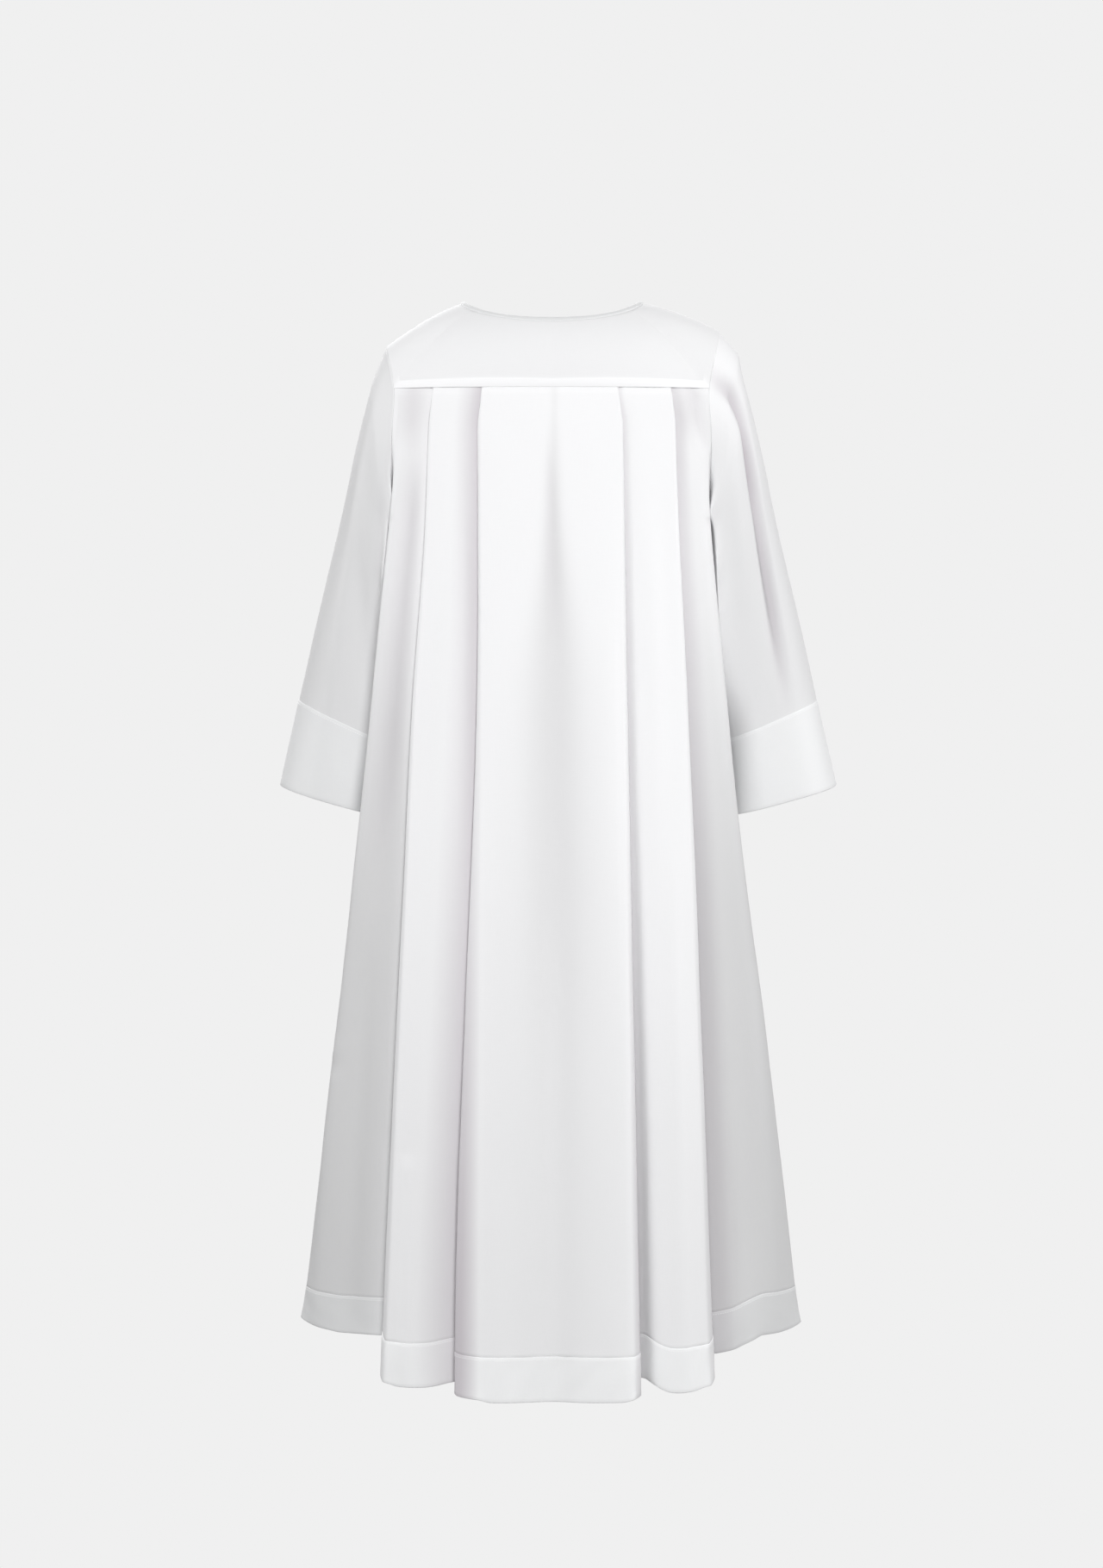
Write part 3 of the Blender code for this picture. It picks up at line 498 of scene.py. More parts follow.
def ramp(value, start, long):
    """A straight rise from 0 to 1 that begins at start."""
    return np.clip((value - start) / long, 0.0, 1.0)


def bell(off, wide):
    """A soft bump, 1 in its middle."""
    return np.exp(-(off / wide) ** 2)


def turned(angle, middle=0.0):
    """How far an angle is from a middle, from -180 to 180 degrees."""
    return (angle - middle + 180.0) % 360.0 - 180.0


def ease(share):
    """A share from 0 to 1 that starts and ends gently."""
    share = min(1.0, max(0.0, share))
    return share * share * (3.0 - 2.0 * share)


def curve_through(keys, values, at):
    """A smooth value at one key, on a curve through all the keys and values."""
    if keys[0] > keys[-1]:
        keys = [-key for key in keys]
        at = -at
    last = len(keys) - 1
    at = min(keys[-1], max(keys[0], at))
    i = max(k for k in range(last) if keys[k] <= at)
    slopes = [(values[k + 1] - values[k]) / (keys[k + 1] - keys[k]) for k in range(last)]
    start = slopes[i] if i == 0 else (slopes[i - 1] + slopes[i]) / 2
    end = slopes[i] if i == last - 1 else (slopes[i] + slopes[i + 1]) / 2
    width = keys[i + 1] - keys[i]
    t = (at - keys[i]) / width
    rise = (2 * t ** 3 - 3 * t ** 2 + 1) * values[i] + (3 * t ** 2 - 2 * t ** 3) * values[i + 1]
    return rise + width * ((t ** 3 - 2 * t ** 2 + t) * start + (t ** 3 - t ** 2) * end)


def row_at(table, key, at):
    """A row of a table between its own rows, all columns on smooth curves."""
    keys = [getattr(row, key) for row in table]
    columns = zip(*table)
    return type(table[0])(*(curve_through(keys, column, at) for column in columns))


def squared(angle, roundness):
    """Sine and cosine of an oval that is squarer the higher its roundness value is."""
    s = math.sin(math.radians(angle))
    c = math.cos(math.radians(angle))
    power = 2.0 / roundness
    return math.copysign(abs(s) ** power, s), math.copysign(abs(c) ** power, c)


def soft_line(controls, steps):
    """A soft curve that touches each straight between its controls, and its points' places in controls."""
    points = [controls[0]]
    places = [0.0]
    last = len(controls) - 1
    for i in range(1, last):
        start = controls[0] if i == 1 else mix(controls[i - 1], controls[i], 0.5)
        end = controls[last] if i == last - 1 else mix(controls[i], controls[i + 1], 0.5)
        start_place = 0.0 if i == 1 else i - 0.5
        end_place = float(last) if i == last - 1 else i + 0.5
        for k in range(1, steps + 1):
            t = k / steps
            points.append(mix(mix(start, controls[i], t), mix(controls[i], end, t), t))
            places.append(mix(start_place, end_place, t))
    return points, places


def smoothed(points, times):
    """A line of points with its ends kept and its bends made even."""
    line = np.array(points)
    for _ in range(times):
        line[1:-1] = (line[:-2] + 2.0 * line[1:-1] + line[2:]) / 4.0
    return line


def plan_normals(line):
    """Outward directions of a plan line that runs anticlockwise seen from above."""
    steps = unit_rows(np.diff(line, axis=0))
    turns = np.vstack([steps[:1], steps]) + np.vstack([steps, steps[-1:]])
    return unit_rows(np.column_stack([turns[:, 1], -turns[:, 0], np.zeros(len(turns))]))


def ripple(point):
    """How far the cloth's soft unevenness lifts it at a point."""
    rise = 0.0
    for row in RIPPLES:
        rise += row.rise * noise.noise((point[0] / row.across, point[1] / row.across, point[2] / row.down))
    return rise


# Cloth shells

def new_object(name, data):
    made = bpy.data.objects.new(name, data)
    bpy.context.scene.collection.objects.link(made)
    return made


def rolled(outer, inner, down, steps=3):
    """Rows that round the free edge from an outer row to an inner one."""
    rows = []
    for k in range(1, steps + 1):
        turn = math.pi * k / (steps + 1)
        middle = (outer + inner) / 2
        half = (outer - inner) / 2
        reach = np.linalg.norm(half, axis=1)[:, None]
        rows.append(middle + half * math.cos(turn) + down * reach * math.sin(turn))
    return rows


def cloth(name, outer, inner, material, ring=False, roll_top=False, roll_low=False, marks=None):
    """A closed thin shell of cloth between an outer and an inner grid, with rounded free edges.

    A ring joins its last column to its first. The cloth's own UV map is in metres across and down, and marks
    are named values for the points of the outer grid.
    """
    outer = np.array(outer)
    inner = np.array(inner)
    rows, columns = outer.shape[:2]
    low_rows = rolled(outer[-1], inner[-1], unit_rows(outer[-1] - outer[-2])) if roll_low else []
    top_rows = rolled(inner[0], outer[0], unit_rows(outer[0] - outer[1])) if roll_top else []
    grid = np.array(list(outer) + low_rows + list(inner[::-1]) + top_rows)
    source = list(range(rows)) + [rows - 1] * len(low_rows) + list(range(rows))[::-1] + [0] * len(top_rows)
    count = len(grid)
    across = lengths(outer[rows // 2], ring)
    down = lengths(grid[:, columns // 2], True)
    body = bmesh.new()
    uv = body.loops.layers.uv.new("cloth")
    layers = {mark: body.verts.layers.float.new(mark) for mark in marks or {}}
    verts = [[body.verts.new(point) for point in row] for row in grid]
    for mark, layer in layers.items():
        for line, row in zip(verts, source):
            for vert, value in zip(line, marks[mark][row]):
                vert[layer] = value
    for r in range(count):
        below = (r + 1) % count
        for c in range(columns if ring else columns - 1):
            d = (c + 1) % columns
            face = body.faces.new((verts[r][c], verts[r][d], verts[below][d], verts[below][c]))
            spots = ((across[c], down[r]), (across[c + 1], down[r]),
                     (across[c + 1], down[r + 1]), (across[c], down[r + 1]))
            for loop, spot in zip(face.loops, spots):
                loop[uv].uv = spot
    if not ring:
        last = count - len(top_rows) - 1
        for c in (0, columns - 1):
            for r in range(rows - 1):
                body.faces.new([verts[k][c] for k in (r, r + 1, last - r - 1, last - r)])
            if low_rows:
                body.faces.new([verts[k][c] for k in range(rows - 1, rows + len(low_rows) + 1)])
            if top_rows:
                body.faces.new([verts[k][c] for k in [0] + list(range(last, count))])
    bmesh.ops.recalc_face_normals(body, faces=body.faces)
    for face in body.faces:
        face.smooth = True
    mesh = bpy.data.meshes.new(name)
    body.to_mesh(mesh)
    body.free()
    mesh.materials.append(material)
    piece = new_object(name, mesh)
    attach(piece, "root")
    return piece


def lengths(line, ring):
    """Distance of each point along a line from its start, with the closing step of a ring at the end."""
    closed = np.vstack([line, line[:1]]) if ring else line
    return np.concatenate([[0.0], np.cumsum(np.linalg.norm(np.diff(closed, axis=0), axis=1))])


# The armhole

def armhole_x(z):
    return curve_through([row.z for row in ARMHOLE_LINE], [row.x for row in ARMHOLE_LINE], z)


def armhole_point(side, angle):
    """A point of the armhole, by its angle from the top of the shoulder towards the back."""
    s, c = squared(angle, ARMHOLE_ROUND)
    middle = (ARMHOLE_TOP + ARMHOLE_LOW) / 2
    z = middle + (ARMHOLE_TOP - ARMHOLE_LOW) / 2 * c
    out, up = SHOULDER_MOVES[side]
    near = bell(turned(angle), SHOULDER_WIDE)
    return (side * (armhole_x(z) + out * near), ARMHOLE_DEEP * s, z + up * near)


def armhole_normal(angle):
    """Outward direction in the plane of the armhole."""
    before = armhole_point(1, angle - 1.0)
    after = armhole_point(1, angle + 1.0)
    length = math.dist(before[1:], after[1:])
    return (0.0, (before[2] - after[2]) / length, (after[1] - before[1]) / length)


def under_angles(face):
    """Angles where a panel's rows end on the armhole, from its yoke seam down to the underarm."""
    return [mix(CORNERS[face], 180.0, k / UNDER_STEPS) for k in range(UNDER_STEPS + 1)]


def shoulder_angles():
    """Angles of the yoke's columns on the armhole, from the back seam over the shoulder to the front seam."""
    return [mix(CORNERS[1], -CORNERS[-1], k / SHOULDER_STEPS) for k in range(SHOULDER_STEPS + 1)]


def yoke_seam_z(face):
    return armhole_point(1, CORNERS[face])[2]


# The body's plan sections

def fall_off(centre, lobe_x, lobe_y, x):
    """How far back a plain section reaches at a place between the middle and its lobe."""
    share = min(1.0, abs(x) / lobe_x)
    return centre - (centre - lobe_y) * share ** FALL


def leaning_at(face, z):
    """How far the folded edges lean out at a level, from 0 near the yoke to 1 at the hem."""
    top = yoke_seam_z(face)
    down = (z - top) / (HEM_LEVEL - top)
    return ease((down - LEAN_FROM) / (1.0 - LEAN_FROM))


def half_controls(face, side, z, end):
    """Controls of half a section from the middle to its end, as x and distance towards this face."""
    level = row_at(LEVELS, "z", z)
    if face > 0:
        centre, lobe_y = level.back, level.lobe_y
        lobe_x = level.lobe_left if side > 0 else level.lobe_right
    else:
        centre, lobe_y, lobe_x = level.front, level.front_lobe_y, level.front_lobe
    top = yoke_seam_z(face)
    down = max(0.0, (z - top) / (HEM_LEVEL - top))
    pressed = ease((top - z) / PRESSED_LONG)
    leaning = leaning_at(face, z)
    pleats = PLEATS[face][side]
    lagging = bell(down - LAG_PLACE, LAG_LONG) * pressed
    edges = [mix(pleat.top, pleat.hem, down ** EDGE_DRIFT) - pleat.lag * lagging for pleat in pleats]
    valley = CENTRE_VALLEY[face] * ease(down * VALLEY_START)
    controls = [(0.0, centre - valley)]
    for sag in MIDDLE_SAGS:
        x = edges[0] * sag.place
        controls.append((x, fall_off(centre, lobe_x, lobe_y, x) - valley * sag.sunk))
    for pleat, edge, following in zip(pleats, edges, (edges[1], lobe_x)):
        deep = mix(PRESSED, mix(pleat.deep_top, pleat.deep_hem, down ** OPENING), pressed)
        under = mix(pleat.under_top, pleat.under_hem, down)
        lean = mix(LEAN_TOP * pressed, pleat.lean, leaning)
        nose = NOSE_SHARE * deep
        shoulder = SHOULDER_SHARE * deep
        turn = max(TURN_LEAST, TURN_SHARE * deep)
        edge_y = fall_off(centre, lobe_x, lobe_y, edge)
        controls.append((edge, edge_y))
        controls.append((edge + lean * LEAN_NOSE, edge_y - nose))
        controls.append((edge + lean, edge_y - shoulder - TURN_LEAST))
        controls.append((edge - under, edge_y - deep + turn))
        controls.append((edge - under, edge_y - deep))
        shown = lean * LEAN_SHOWN
        near = shown + mix(pleat.near_top, pleat.near_hem, down)
        far = min(shown + mix(pleat.far_top, pleat.far_hem, down), FAR_MOST * (following - edge))
        opened = mix(FAR_SUNK_TOP, 1.0, ease(down / FAR_OPENS))
        for out, sunk in ((near, pleat.near_sunk), (far, pleat.far_sunk * opened)):
            x = edge + out
            controls.append((x, fall_off(centre, lobe_x, lobe_y, x) - deep * sunk))
    rounded = ease(down * LOBE_START)
    lobe = (lobe_x + LOBE_OUT * rounded, lobe_y + LOBE_AWAY * rounded)
    controls.append(lobe)
    close = mix(lobe, end, 0.5)
    controls.append((close[0] - level.tuck, close[1]))
    controls.append(end)
    return controls


def section_end(face, side, z, angle):
    """Where a section ends: on the armhole down to the underarm, and on the side seam below it."""
    if angle is not None:
        x, y, _ = armhole_point(side, angle)
        if angle < 180.0:
            return abs(x) - SEAM / 2, y
        return abs(x) - SEAM / 2, SEAM / 2
    level = row_at(LEVELS, "z", z)
    return level.side, face * level.side_y + SEAM / 2


def section(face, z, angle=None):
    """One row of a panel with its places, counted in controls from the middle and positive on the left."""
    first, second = (1, -1) if face > 0 else (-1, 1)
    halves = []
    for side in (first, second):
        half = half_controls(face, side, z, section_end(face, side, z, angle))
        halves.append([(side * x, face * y) for x, y in half])
    controls = halves[0][::-1] + halves[1][1:]
    points, places = soft_line(controls, SPAN_STEPS[face])
    middle = len(halves[0]) - 1
    return smoothed(points, SMOOTHINGS), first * (middle - np.array(places))


def hang(face, z, line, places):
    """Give a plan line its level: the middle of a panel hangs lower the nearer it is to the hem band."""
    top = yoke_seam_z(face)
    level = row_at(LEVELS, "z", z)
    centre = level.back if face > 0 else level.front
    down = min(1.0, max(0.0, (z - top) / (HEM_LEVEL + HEM_DEEP - top)))
    dip = DIPS[face] * down ** 2
    order = np.argsort(places)
    reach = face * np.interp(level_places(places), places[order], line[order, 1])
    out = ramp(reach / centre, DIP_FROM, 1.0 - DIP_FROM)
    wing = ramp(np.abs(places), WING - WING_FROM, WING_LATE)
    hung = np.where(places > 0.0, WING_HANGS[face][1], WING_HANGS[face][-1])
    level = z - dip * np.sin(out * math.pi / 2) * (1.0 + wing * (hung - 1.0))
    rising = ease((down - LIFT_FROM) / (1.0 - LIFT_FROM))
    rising = rising * ramp(np.abs(places), EDGES[0] + LIFT_OUT, LIFT_LATE)
    for lift in HEM_LIFTS[face]:
        level += rising * lift.rise * bell(line[:, 0] - lift.x, lift.wide)
    return np.column_stack([line, level])


def level_places(places):
    """The place whose level each column shares: a folded edge keeps its own level as far as it shows."""
    out = np.abs(places)
    for edge in EDGES:
        beyond = out - edge
        near = (beyond > 0.0) & (beyond < 2.0 * EDGE_HELD)
        out = np.where(near, edge + 2.0 * np.maximum(0.0, beyond - EDGE_HELD), out)
    return np.copysign(out, places)


def creases(face, z, line, places):
    """How far the soft creases lift each point of a row, and how much painted fold shade they give it."""
    lift = np.zeros(len(line))
    shade = np.zeros(len(line))
    along = lengths(line, False)
    for crease in CREASES[face]:
        share = (crease.top_z - z) / (crease.top_z - crease.low_z)
        if not 0.0 < share < 1.0:
            continue
        x = mix(crease.top_x, crease.low_x, share) + crease.bow * 4.0 * share * (1.0 - share)
        side = math.copysign(1.0, x)
        run, keep = crease_run(side, abs(x), line, places)
        order = np.flatnonzero(run)
        order = order[np.argsort(line[order, 0])]
        at = np.interp(x, line[order, 0], along[order])
        strength = ease(share / crease.begin) * ease((1.0 - share) / crease.end)
        wide = mix(crease.wide_top, crease.wide_low, share)
        shape = bell(along - at, wide) * ramp(keep, 0.0, EDGE_KEEP)
        lift += shape * crease.rise * strength
        shade += shape * crease.shade * strength
    return lift, shade


def crease_run(side, x, line, places):
    """The columns of the run of outer cloth that holds a place x, and how far each is from its folds."""
    out = side * places
    order = np.argsort(out)
    edges = [abs(np.interp(edge, out[order], line[order, 0])) for edge in EDGES]
    run = RUNS[sum(x >= edge for edge in edges)]
    keep = out - run.start
    if run != RUNS[-1]:
        keep = np.minimum(keep, run.end - out)
    return (out > run.start) & (out < run.end), keep


def panel_rows(face):
    """Levels of a panel's rows with their armhole angles, from the yoke seam to the top of the hem."""
    rows = [(armhole_point(1, angle)[2], angle) for angle in under_angles(face)]
    rows[0] = (rows[0][0] - SEAM / 2, rows[0][1])
    low = HEM_LEVEL + HEM_DEEP - TUCK
    count = PANEL_ROWS[face]
    rows += [(mix(ARMHOLE_LOW, low, k / count), None) for k in range(1, count + 1)]
    return rows


def painted_fold_shade_at(face, z, places):
    """How much painted fold shade each column has, from 0 on the outer cloth to 1 in under a pleat."""
    depth = np.zeros(len(places))
    for side, pleats in PLEATS[face].items():
        out = side * places
        for pleat, edge in zip(pleats, EDGES):
            rolling = leaning_at(face, z) * min(1.0, pleat.lean / FULL_LEAN)
            # Painted shade on a folded edge that rolls over.
            roll = ROLL_PAINTED_SHADE * rolling * ramp(out, edge + ROLL_FROM, ROLL_LONG)
            inwards = np.maximum(roll, ramp(out, edge + HIDDEN_FROM, 1.0))
            outwards = 1.0 - ramp(out, edge + pleat.ends - pleat.reach / 2, pleat.reach)
            depth = np.maximum(depth, pleat.shade * inwards * outwards)
    return depth


def backing_and_painted_light(places, line, z):
    """How much further layers back the cloth, from 0 on the single cloth at the sides to 1, with painted
    light and shade.
    """
    # Painted light: the sides are lighter near the top.
    wing = WING_TOP_PAINTED_LIGHT * (1.0 - ease((WING_TOP - z) / WING_LONG))
    share = ramp(np.abs(places), WING - 1.0, 1.0)
    # Painted shade along the soft middle fold, partly the greyer single cloth there.
    middle = row_at(MIDDLE_THIN_AND_SHADE, "z", z)
    inside = (np.abs(places) < EDGES[0]) * bell(line[:, 0] - MIDDLE_PLACE, middle.wide)
    # Painted shade: darker towards the hem.
    low = LOW_PAINTED_SHADE * ease((LOW_FROM - z) / LOW_LONG)
    return (1.0 - low) * (1.0 - (1.0 - wing) * share) - middle.share * inside


def cloth_rows(face, rows, raise_by, thickness, pucker=0.0, corner=0.0):
    """Outer and inner grids of the body's cloth at the given levels, with painted fold shade and backing
    tones.
    """
    outer = []
    inner = []
    folds = []
    backing_and_light_rows = []
    for k, (z, angle) in enumerate(rows):
        line, places = section(face, z, angle)
        normals = plan_normals(line)
        for end in (0, -1):
            side = math.copysign(1.0, line[end][0])
            if angle is None:
                normals[end] = (side, 0.0, 0.0)
            elif side * normals[end][0] < 0.0:
                normals[end] = (0.0, float(face), 0.0)
        points = hang(face, z, line, places)
        lift, shade = creases(face, z, line, places)
        held = ease((yoke_seam_z(face) - z) / RIPPLE_HELD)
        lift += held * np.array([ripple(point) for point in points])
        lift += pucker * np.array([puckers(point) for point in points])
        along = lengths(line, False)
        lift *= ramp(np.minimum(along, along[-1] - along), 0.0, END_KEEP)
        lift = (lift + raise_by)[:, None]
        if corner:
            points[:, 2] += corner * (k / (len(rows) - 1)) ** CORNER_LATE * corners(places, along)
        outer.append(points + normals * lift)
        inner.append(points + normals * (lift - thickness))
        # Painted fold shade, and backing tones with painted light and shade.
        folds.append(np.minimum(1.0, painted_fold_shade_at(face, z, places) + shade))
        backing_and_light_rows.append(backing_and_painted_light(places, line, z))
    return np.array(outer), np.array(inner), {"fold": np.array(folds), "backing_and_painted_light": np.array(backing_and_light_rows)}


def corners(places, along):
    """How much the hem's lower edge rises at the folded edges, where the cloth rolls over, and the sides."""
    rise = np.zeros(len(places))
    order = np.argsort(places)
    for side in (1, -1):
        for edge in EDGES:
            beyond = side * places - edge
            near = np.interp(side * edge, places[order], along[order])
            away = np.copysign(np.abs(along - near), beyond)
            up = ramp(away, -CORNER_WIDE, 2.0 * CORNER_WIDE)
            back = 1.0 - ramp(beyond, CORNER_ENDS, CORNER_ENDED)
            rise = np.maximum(rise, up * up * (3.0 - 2.0 * up) * back)
    beside = ramp(np.abs(places), SIDE_FROM, SIDE_LONG)
    shorter = np.where(places > 0.0, SIDE_RISES[1], SIDE_RISES[-1])
    outermost = bell(np.abs(places) - OUTERMOST, OUTER_WIDE)
    return rise + (shorter * beside + OUTER_RISE * outermost) / CORNER_LIFT


def puckers(point):
    """Small slanting puckers of turned cloth along a row of stitches."""
    slant = point[0] + point[1] + PUCKER_SLANT * point[2]
    return PUCKER * noise.noise((slant / PUCKER_LONG, point[2] / PUCKER_TALL, PUCKER_PLACE))


def body_panel(name, face, material):
    outer, inner, marks = cloth_rows(face, panel_rows(face), 0.0, SINGLE)
    sunk = unit_rows(inner[0] - outer[0]) * UNDER_WELT
    outer[0] += sunk
    inner[0] += sunk
    under = np.array((0.0, -face * UNDER_YOKE, TUCK))
    outer = np.vstack([[outer[0] + under], outer])
    inner = np.vstack([[inner[0] + under], inner])
    marks = {mark: np.vstack([values[:1], values]) for mark, values in marks.items()}
    return cloth(name, outer, inner, material, marks=marks)


def body_hem(name, face, material):
    top = HEM_LEVEL + HEM_DEEP - SEAM / 2
    rows = [(mix(top, HEM_LEVEL, k / HEM_ROWS), None) for k in range(HEM_ROWS + 1)]
    outer, inner, marks = cloth_rows(face, rows, BAND_RAISE, DOUBLE, 1.0, CORNER_LIFT)
    return cloth(name, outer, inner, material, roll_top=True, roll_low=True, marks=marks), outer


# Yoke and binding

def neck_point(angle):
    """The upper edge of the binding, by its angle from the nape towards the left."""
    s, c = squared(angle, NECK_ROUND)
    reach, dip = (NECK_BACK, NAPE_DIP) if c > 0 else (NECK_FRONT, THROAT_DIP)
    return (NECK_HALF * s, reach * c, NECK_TOP - dip * abs(c) ** NECK_DROP)


def yoke_seam_point(face, side, share):
    """A point of the yoke's lower edge, from the middle to the corner at the armhole."""
    z = yoke_seam_z(face)
    level = row_at(LEVELS, "z", z)
    corner = armhole_point(1, face * CORNERS[face])
    centre = level.back if face > 0 else level.front
    x = share * (corner[0] - SEAM / 2)
    y = centre - (centre - abs(corner[1])) * share ** FALL
    return (side * x, face * y, z + SEAM / 2)


def yoke_edge():
    """The yoke's outer edge from the middle of the back round by the left: point, direction, neck angle."""
    edge = []
    half = YOKE_STEPS // 2
    for face, side in ((1, 1), (-1, 1), (-1, -1), (1, -1)):
        middle_angle, corner_angle = (0.0, NECK_BACK_CORNER) if face > 0 else (180.0, NECK_FRONT_CORNER)
        seam = []
        for k in range(half):
            share = k / half
            angle = mix(middle_angle, corner_angle, share)
            seam.append((yoke_seam_point(face, side, share), (0.0, float(face), 0.0), side * angle))
        shoulder = []
        angles = shoulder_angles()
        middle = SHOULDER_STEPS // 2
        chosen = angles[:middle] if face > 0 else angles[middle:][::-1]
        for k, angle in enumerate(chosen):
            x, y, z = armhole_point(side, angle)
            normal = armhole_normal(angle)
            if k == 0:
                z += SEAM / 2
                normal = (0.0, float(face), 0.0)
            place = mix(corner_angle, 90.0, k / middle)
            shoulder.append(((x - side * SEAM / 2, y, z), normal, side * place))
        quarter = seam + shoulder
        if side * face < 0:
            quarter = quarter[::-1]
        edge += quarter
    return tidy_ring(edge)


def tidy_ring(edge):
    """Leave out each point that repeats the one before it."""
    kept = []
    for entry in edge:
        if not kept or math.dist(kept[-1][0], entry[0]) > SAME_POINT:
            kept.append(entry)
    if math.dist(kept[0][0], kept[-1][0]) < SAME_POINT:
        kept.pop()
    return kept


def yoke_surface(start, end, neck_angle, share):
    """A point between the neck and the yoke's outer edge, rounded out over the shoulder."""
    crown = YOKE_CROWN * 4.0 * share * (1.0 - share)
    back = math.cos(math.radians(neck_angle))
    slope = abs(math.sin(math.radians(2.0 * neck_angle)))
    x, y, z = mix(start, end, share)
    return (x, y + CROWN_BACK * crown * back, z + crown * mix(CROWN_LEAST, 1.0, slope))


def yoke_grid(shares_of):
    """Rows of points from the neck outwards, with the surface's outward directions."""
    edge = yoke_edge()
    rows = []
    normals = []
    for r in range(len(shares_of(1.0))):
        row = []
        for point, _, angle in edge:
            start = neck_point(angle)
            share = shares_of(math.dist(start, point))[r]
            row.append((start, point, angle, share))
        points = np.array([yoke_surface(*entry) for entry in row])
        further = np.array([yoke_surface(s, p, a, share + YOKE_NEAR) for s, p, a, share in row])
        along = np.roll(points, -1, axis=0) - np.roll(points, 1, axis=0)
        rows.append(points)
        normals.append(unit_rows(np.cross(along, further - points)))
    return edge, np.array(rows), np.array(normals)


def neck_binding(material):
    def shares(length):
        reach = (BINDING - SEAM / 2) / length
        return [reach * k / BINDING_ROWS for k in range(BINDING_ROWS + 1)]
    _, rows, normals = yoke_grid(shares)
    share = np.arange(BINDING_ROWS + 1) / BINDING_ROWS
    lift = (BINDING_PUFF * np.sin(math.pi * (PUFF_FROM + PUFF_LONG * share)))[:, None, None]
    outer = rows + normals * lift
    inner = rows - normals * (lift + SINGLE)
    piece = cloth("neck_binding_cloth", outer, inner, material, ring=True, roll_top=True, roll_low=True)
    return piece, outer, normals


def yoke(material):
    def shares(length):
        first = (BINDING - YOKE_UNDER) / length
        welt = 1.0 - WELT_WIDE / length
        plain = [mix(first, welt, k / YOKE_ROWS) for k in range(YOKE_ROWS)]
        return plain + [mix(welt, 1.0, k / WELT_ROWS) for k in range(WELT_ROWS + 1)]
    edge, rows, normals = yoke_grid(shares)
    normals[-1] = [direction for _, direction, _ in edge]
    outer = []
    inner = []
    backing_and_light_rows = []
    for r, (row, line) in enumerate(zip(rows, normals)):
        on_welt = max(0.0, (r - YOKE_ROWS) / WELT_ROWS)
        at_seam = np.array([1.0 if abs(entry[1][1]) == 1.0 else 0.0 for entry in edge])
        for _ in range(WELT_FADES):
            at_seam = np.maximum(at_seam, (np.roll(at_seam, 1) + at_seam + np.roll(at_seam, -1)) / 3.0)
        half_wave = math.sin(math.pi * min(1.0, on_welt * WELT_SQUARE))
        rise = WELT_RAISE * half_wave ** WELT_ROUND if on_welt < WELT_ENDS else 0.0
        held = 1.0 - ease((r - YOKE_ROWS / 2) / (YOKE_ROWS / 2 + WELT_ROWS))
        uneven = held * np.array([ripple(point) for point in row]) * min(1.0, r / YOKE_HELD)
        lifts = rise * at_seam + uneven
        outer.append(row + line * lifts[:, None])
        inner.append(row + line * (np.minimum(lifts, 0.0) - SINGLE)[:, None])
        # Painted shade tones down the yoke's top; the double welt stays whiter.
        backing_and_light_rows.append(YOKE_BACKING_AND_SHADE + (1.0 - YOKE_BACKING_AND_SHADE) * at_seam * (on_welt > 0.0))
    marks = {"backing_and_painted_light": np.array(backing_and_light_rows)}
    piece = cloth("yoke_cloth", outer, inner, material, ring=True, roll_low=True, marks=marks)
    return piece, np.array(outer), normals, edge


# Sleeves and cuffs

@functools.cache
def wall_grid(side):
    """How far out the body reaches beside a sleeve, by level and by place from front to back."""
    grid = np.zeros((WALL_ROWS + 1, WALL_COLUMNS + 1))
    places = np.linspace(-WALL_DEEP, WALL_DEEP, WALL_COLUMNS + 1)
    for r in range(WALL_ROWS + 1):
        z = mix(WALL_TOP, WALL_LOW, r / WALL_ROWS)
        for face in (1, -1):
            angle = None
            if z > ARMHOLE_LOW:
                angles = under_angles(face)[::-1]
                angle = np.interp(z, [armhole_point(1, a)[2] for a in angles], angles)
            line, _ = section(face, z, angle)
            near = np.abs(line[:, 1][None, :] - places[:, None]) < WALL_NEAR
            grid[r] = np.maximum(grid[r], np.where(near, side * line[:, 0][None, :], 0.0).max(axis=1))
    for _ in range(WALL_SMOOTHINGS):
        grid[1:-1] = np.maximum(grid[1:-1], (grid[:-2] + 2.0 * grid[1:-1] + grid[2:]) / 4.0)
        grid[:, 1:-1] = np.maximum(grid[:, 1:-1], (grid[:, :-2] + 2.0 * grid[:, 1:-1] + grid[:, 2:]) / 4.0)
    return grid


def wall_at(grid, points):
    """The body's reach beside each point of a sleeve."""
    row = np.clip((WALL_TOP - points[:, 2]) / (WALL_TOP - WALL_LOW) * WALL_ROWS, 0.0, WALL_ROWS - WALL_END)
    column = np.clip((points[:, 1] / WALL_DEEP + 1.0) / 2.0 * WALL_COLUMNS, 0.0, WALL_COLUMNS - WALL_END)
    r, c = row.astype(int), column.astype(int)
    above = mix(grid[r, c], grid[r, c + 1], column - c)
    below = mix(grid[r + 1, c], grid[r + 1, c + 1], column - c)
    return mix(above, below, row - r)


def trough(side, angle, place):
    """How far the long troughs sink the sleeve at an angle, from 0 at the head to 1 at the cuff's edge."""
    sunk = 0.0
    for row in TROUGHS[side]:
        off = turned(angle, mix(row.top, row.low, place))
        faded = ease((place - TROUGH_FADE) / (TROUGH_FADED - TROUGH_FADE))
        strength = ease(place / TROUGH_START) * mix(1.0, TROUGH_LEFT, faded)
        sunk += row.deep * bell(off, row.wide) * strength
    return sunk


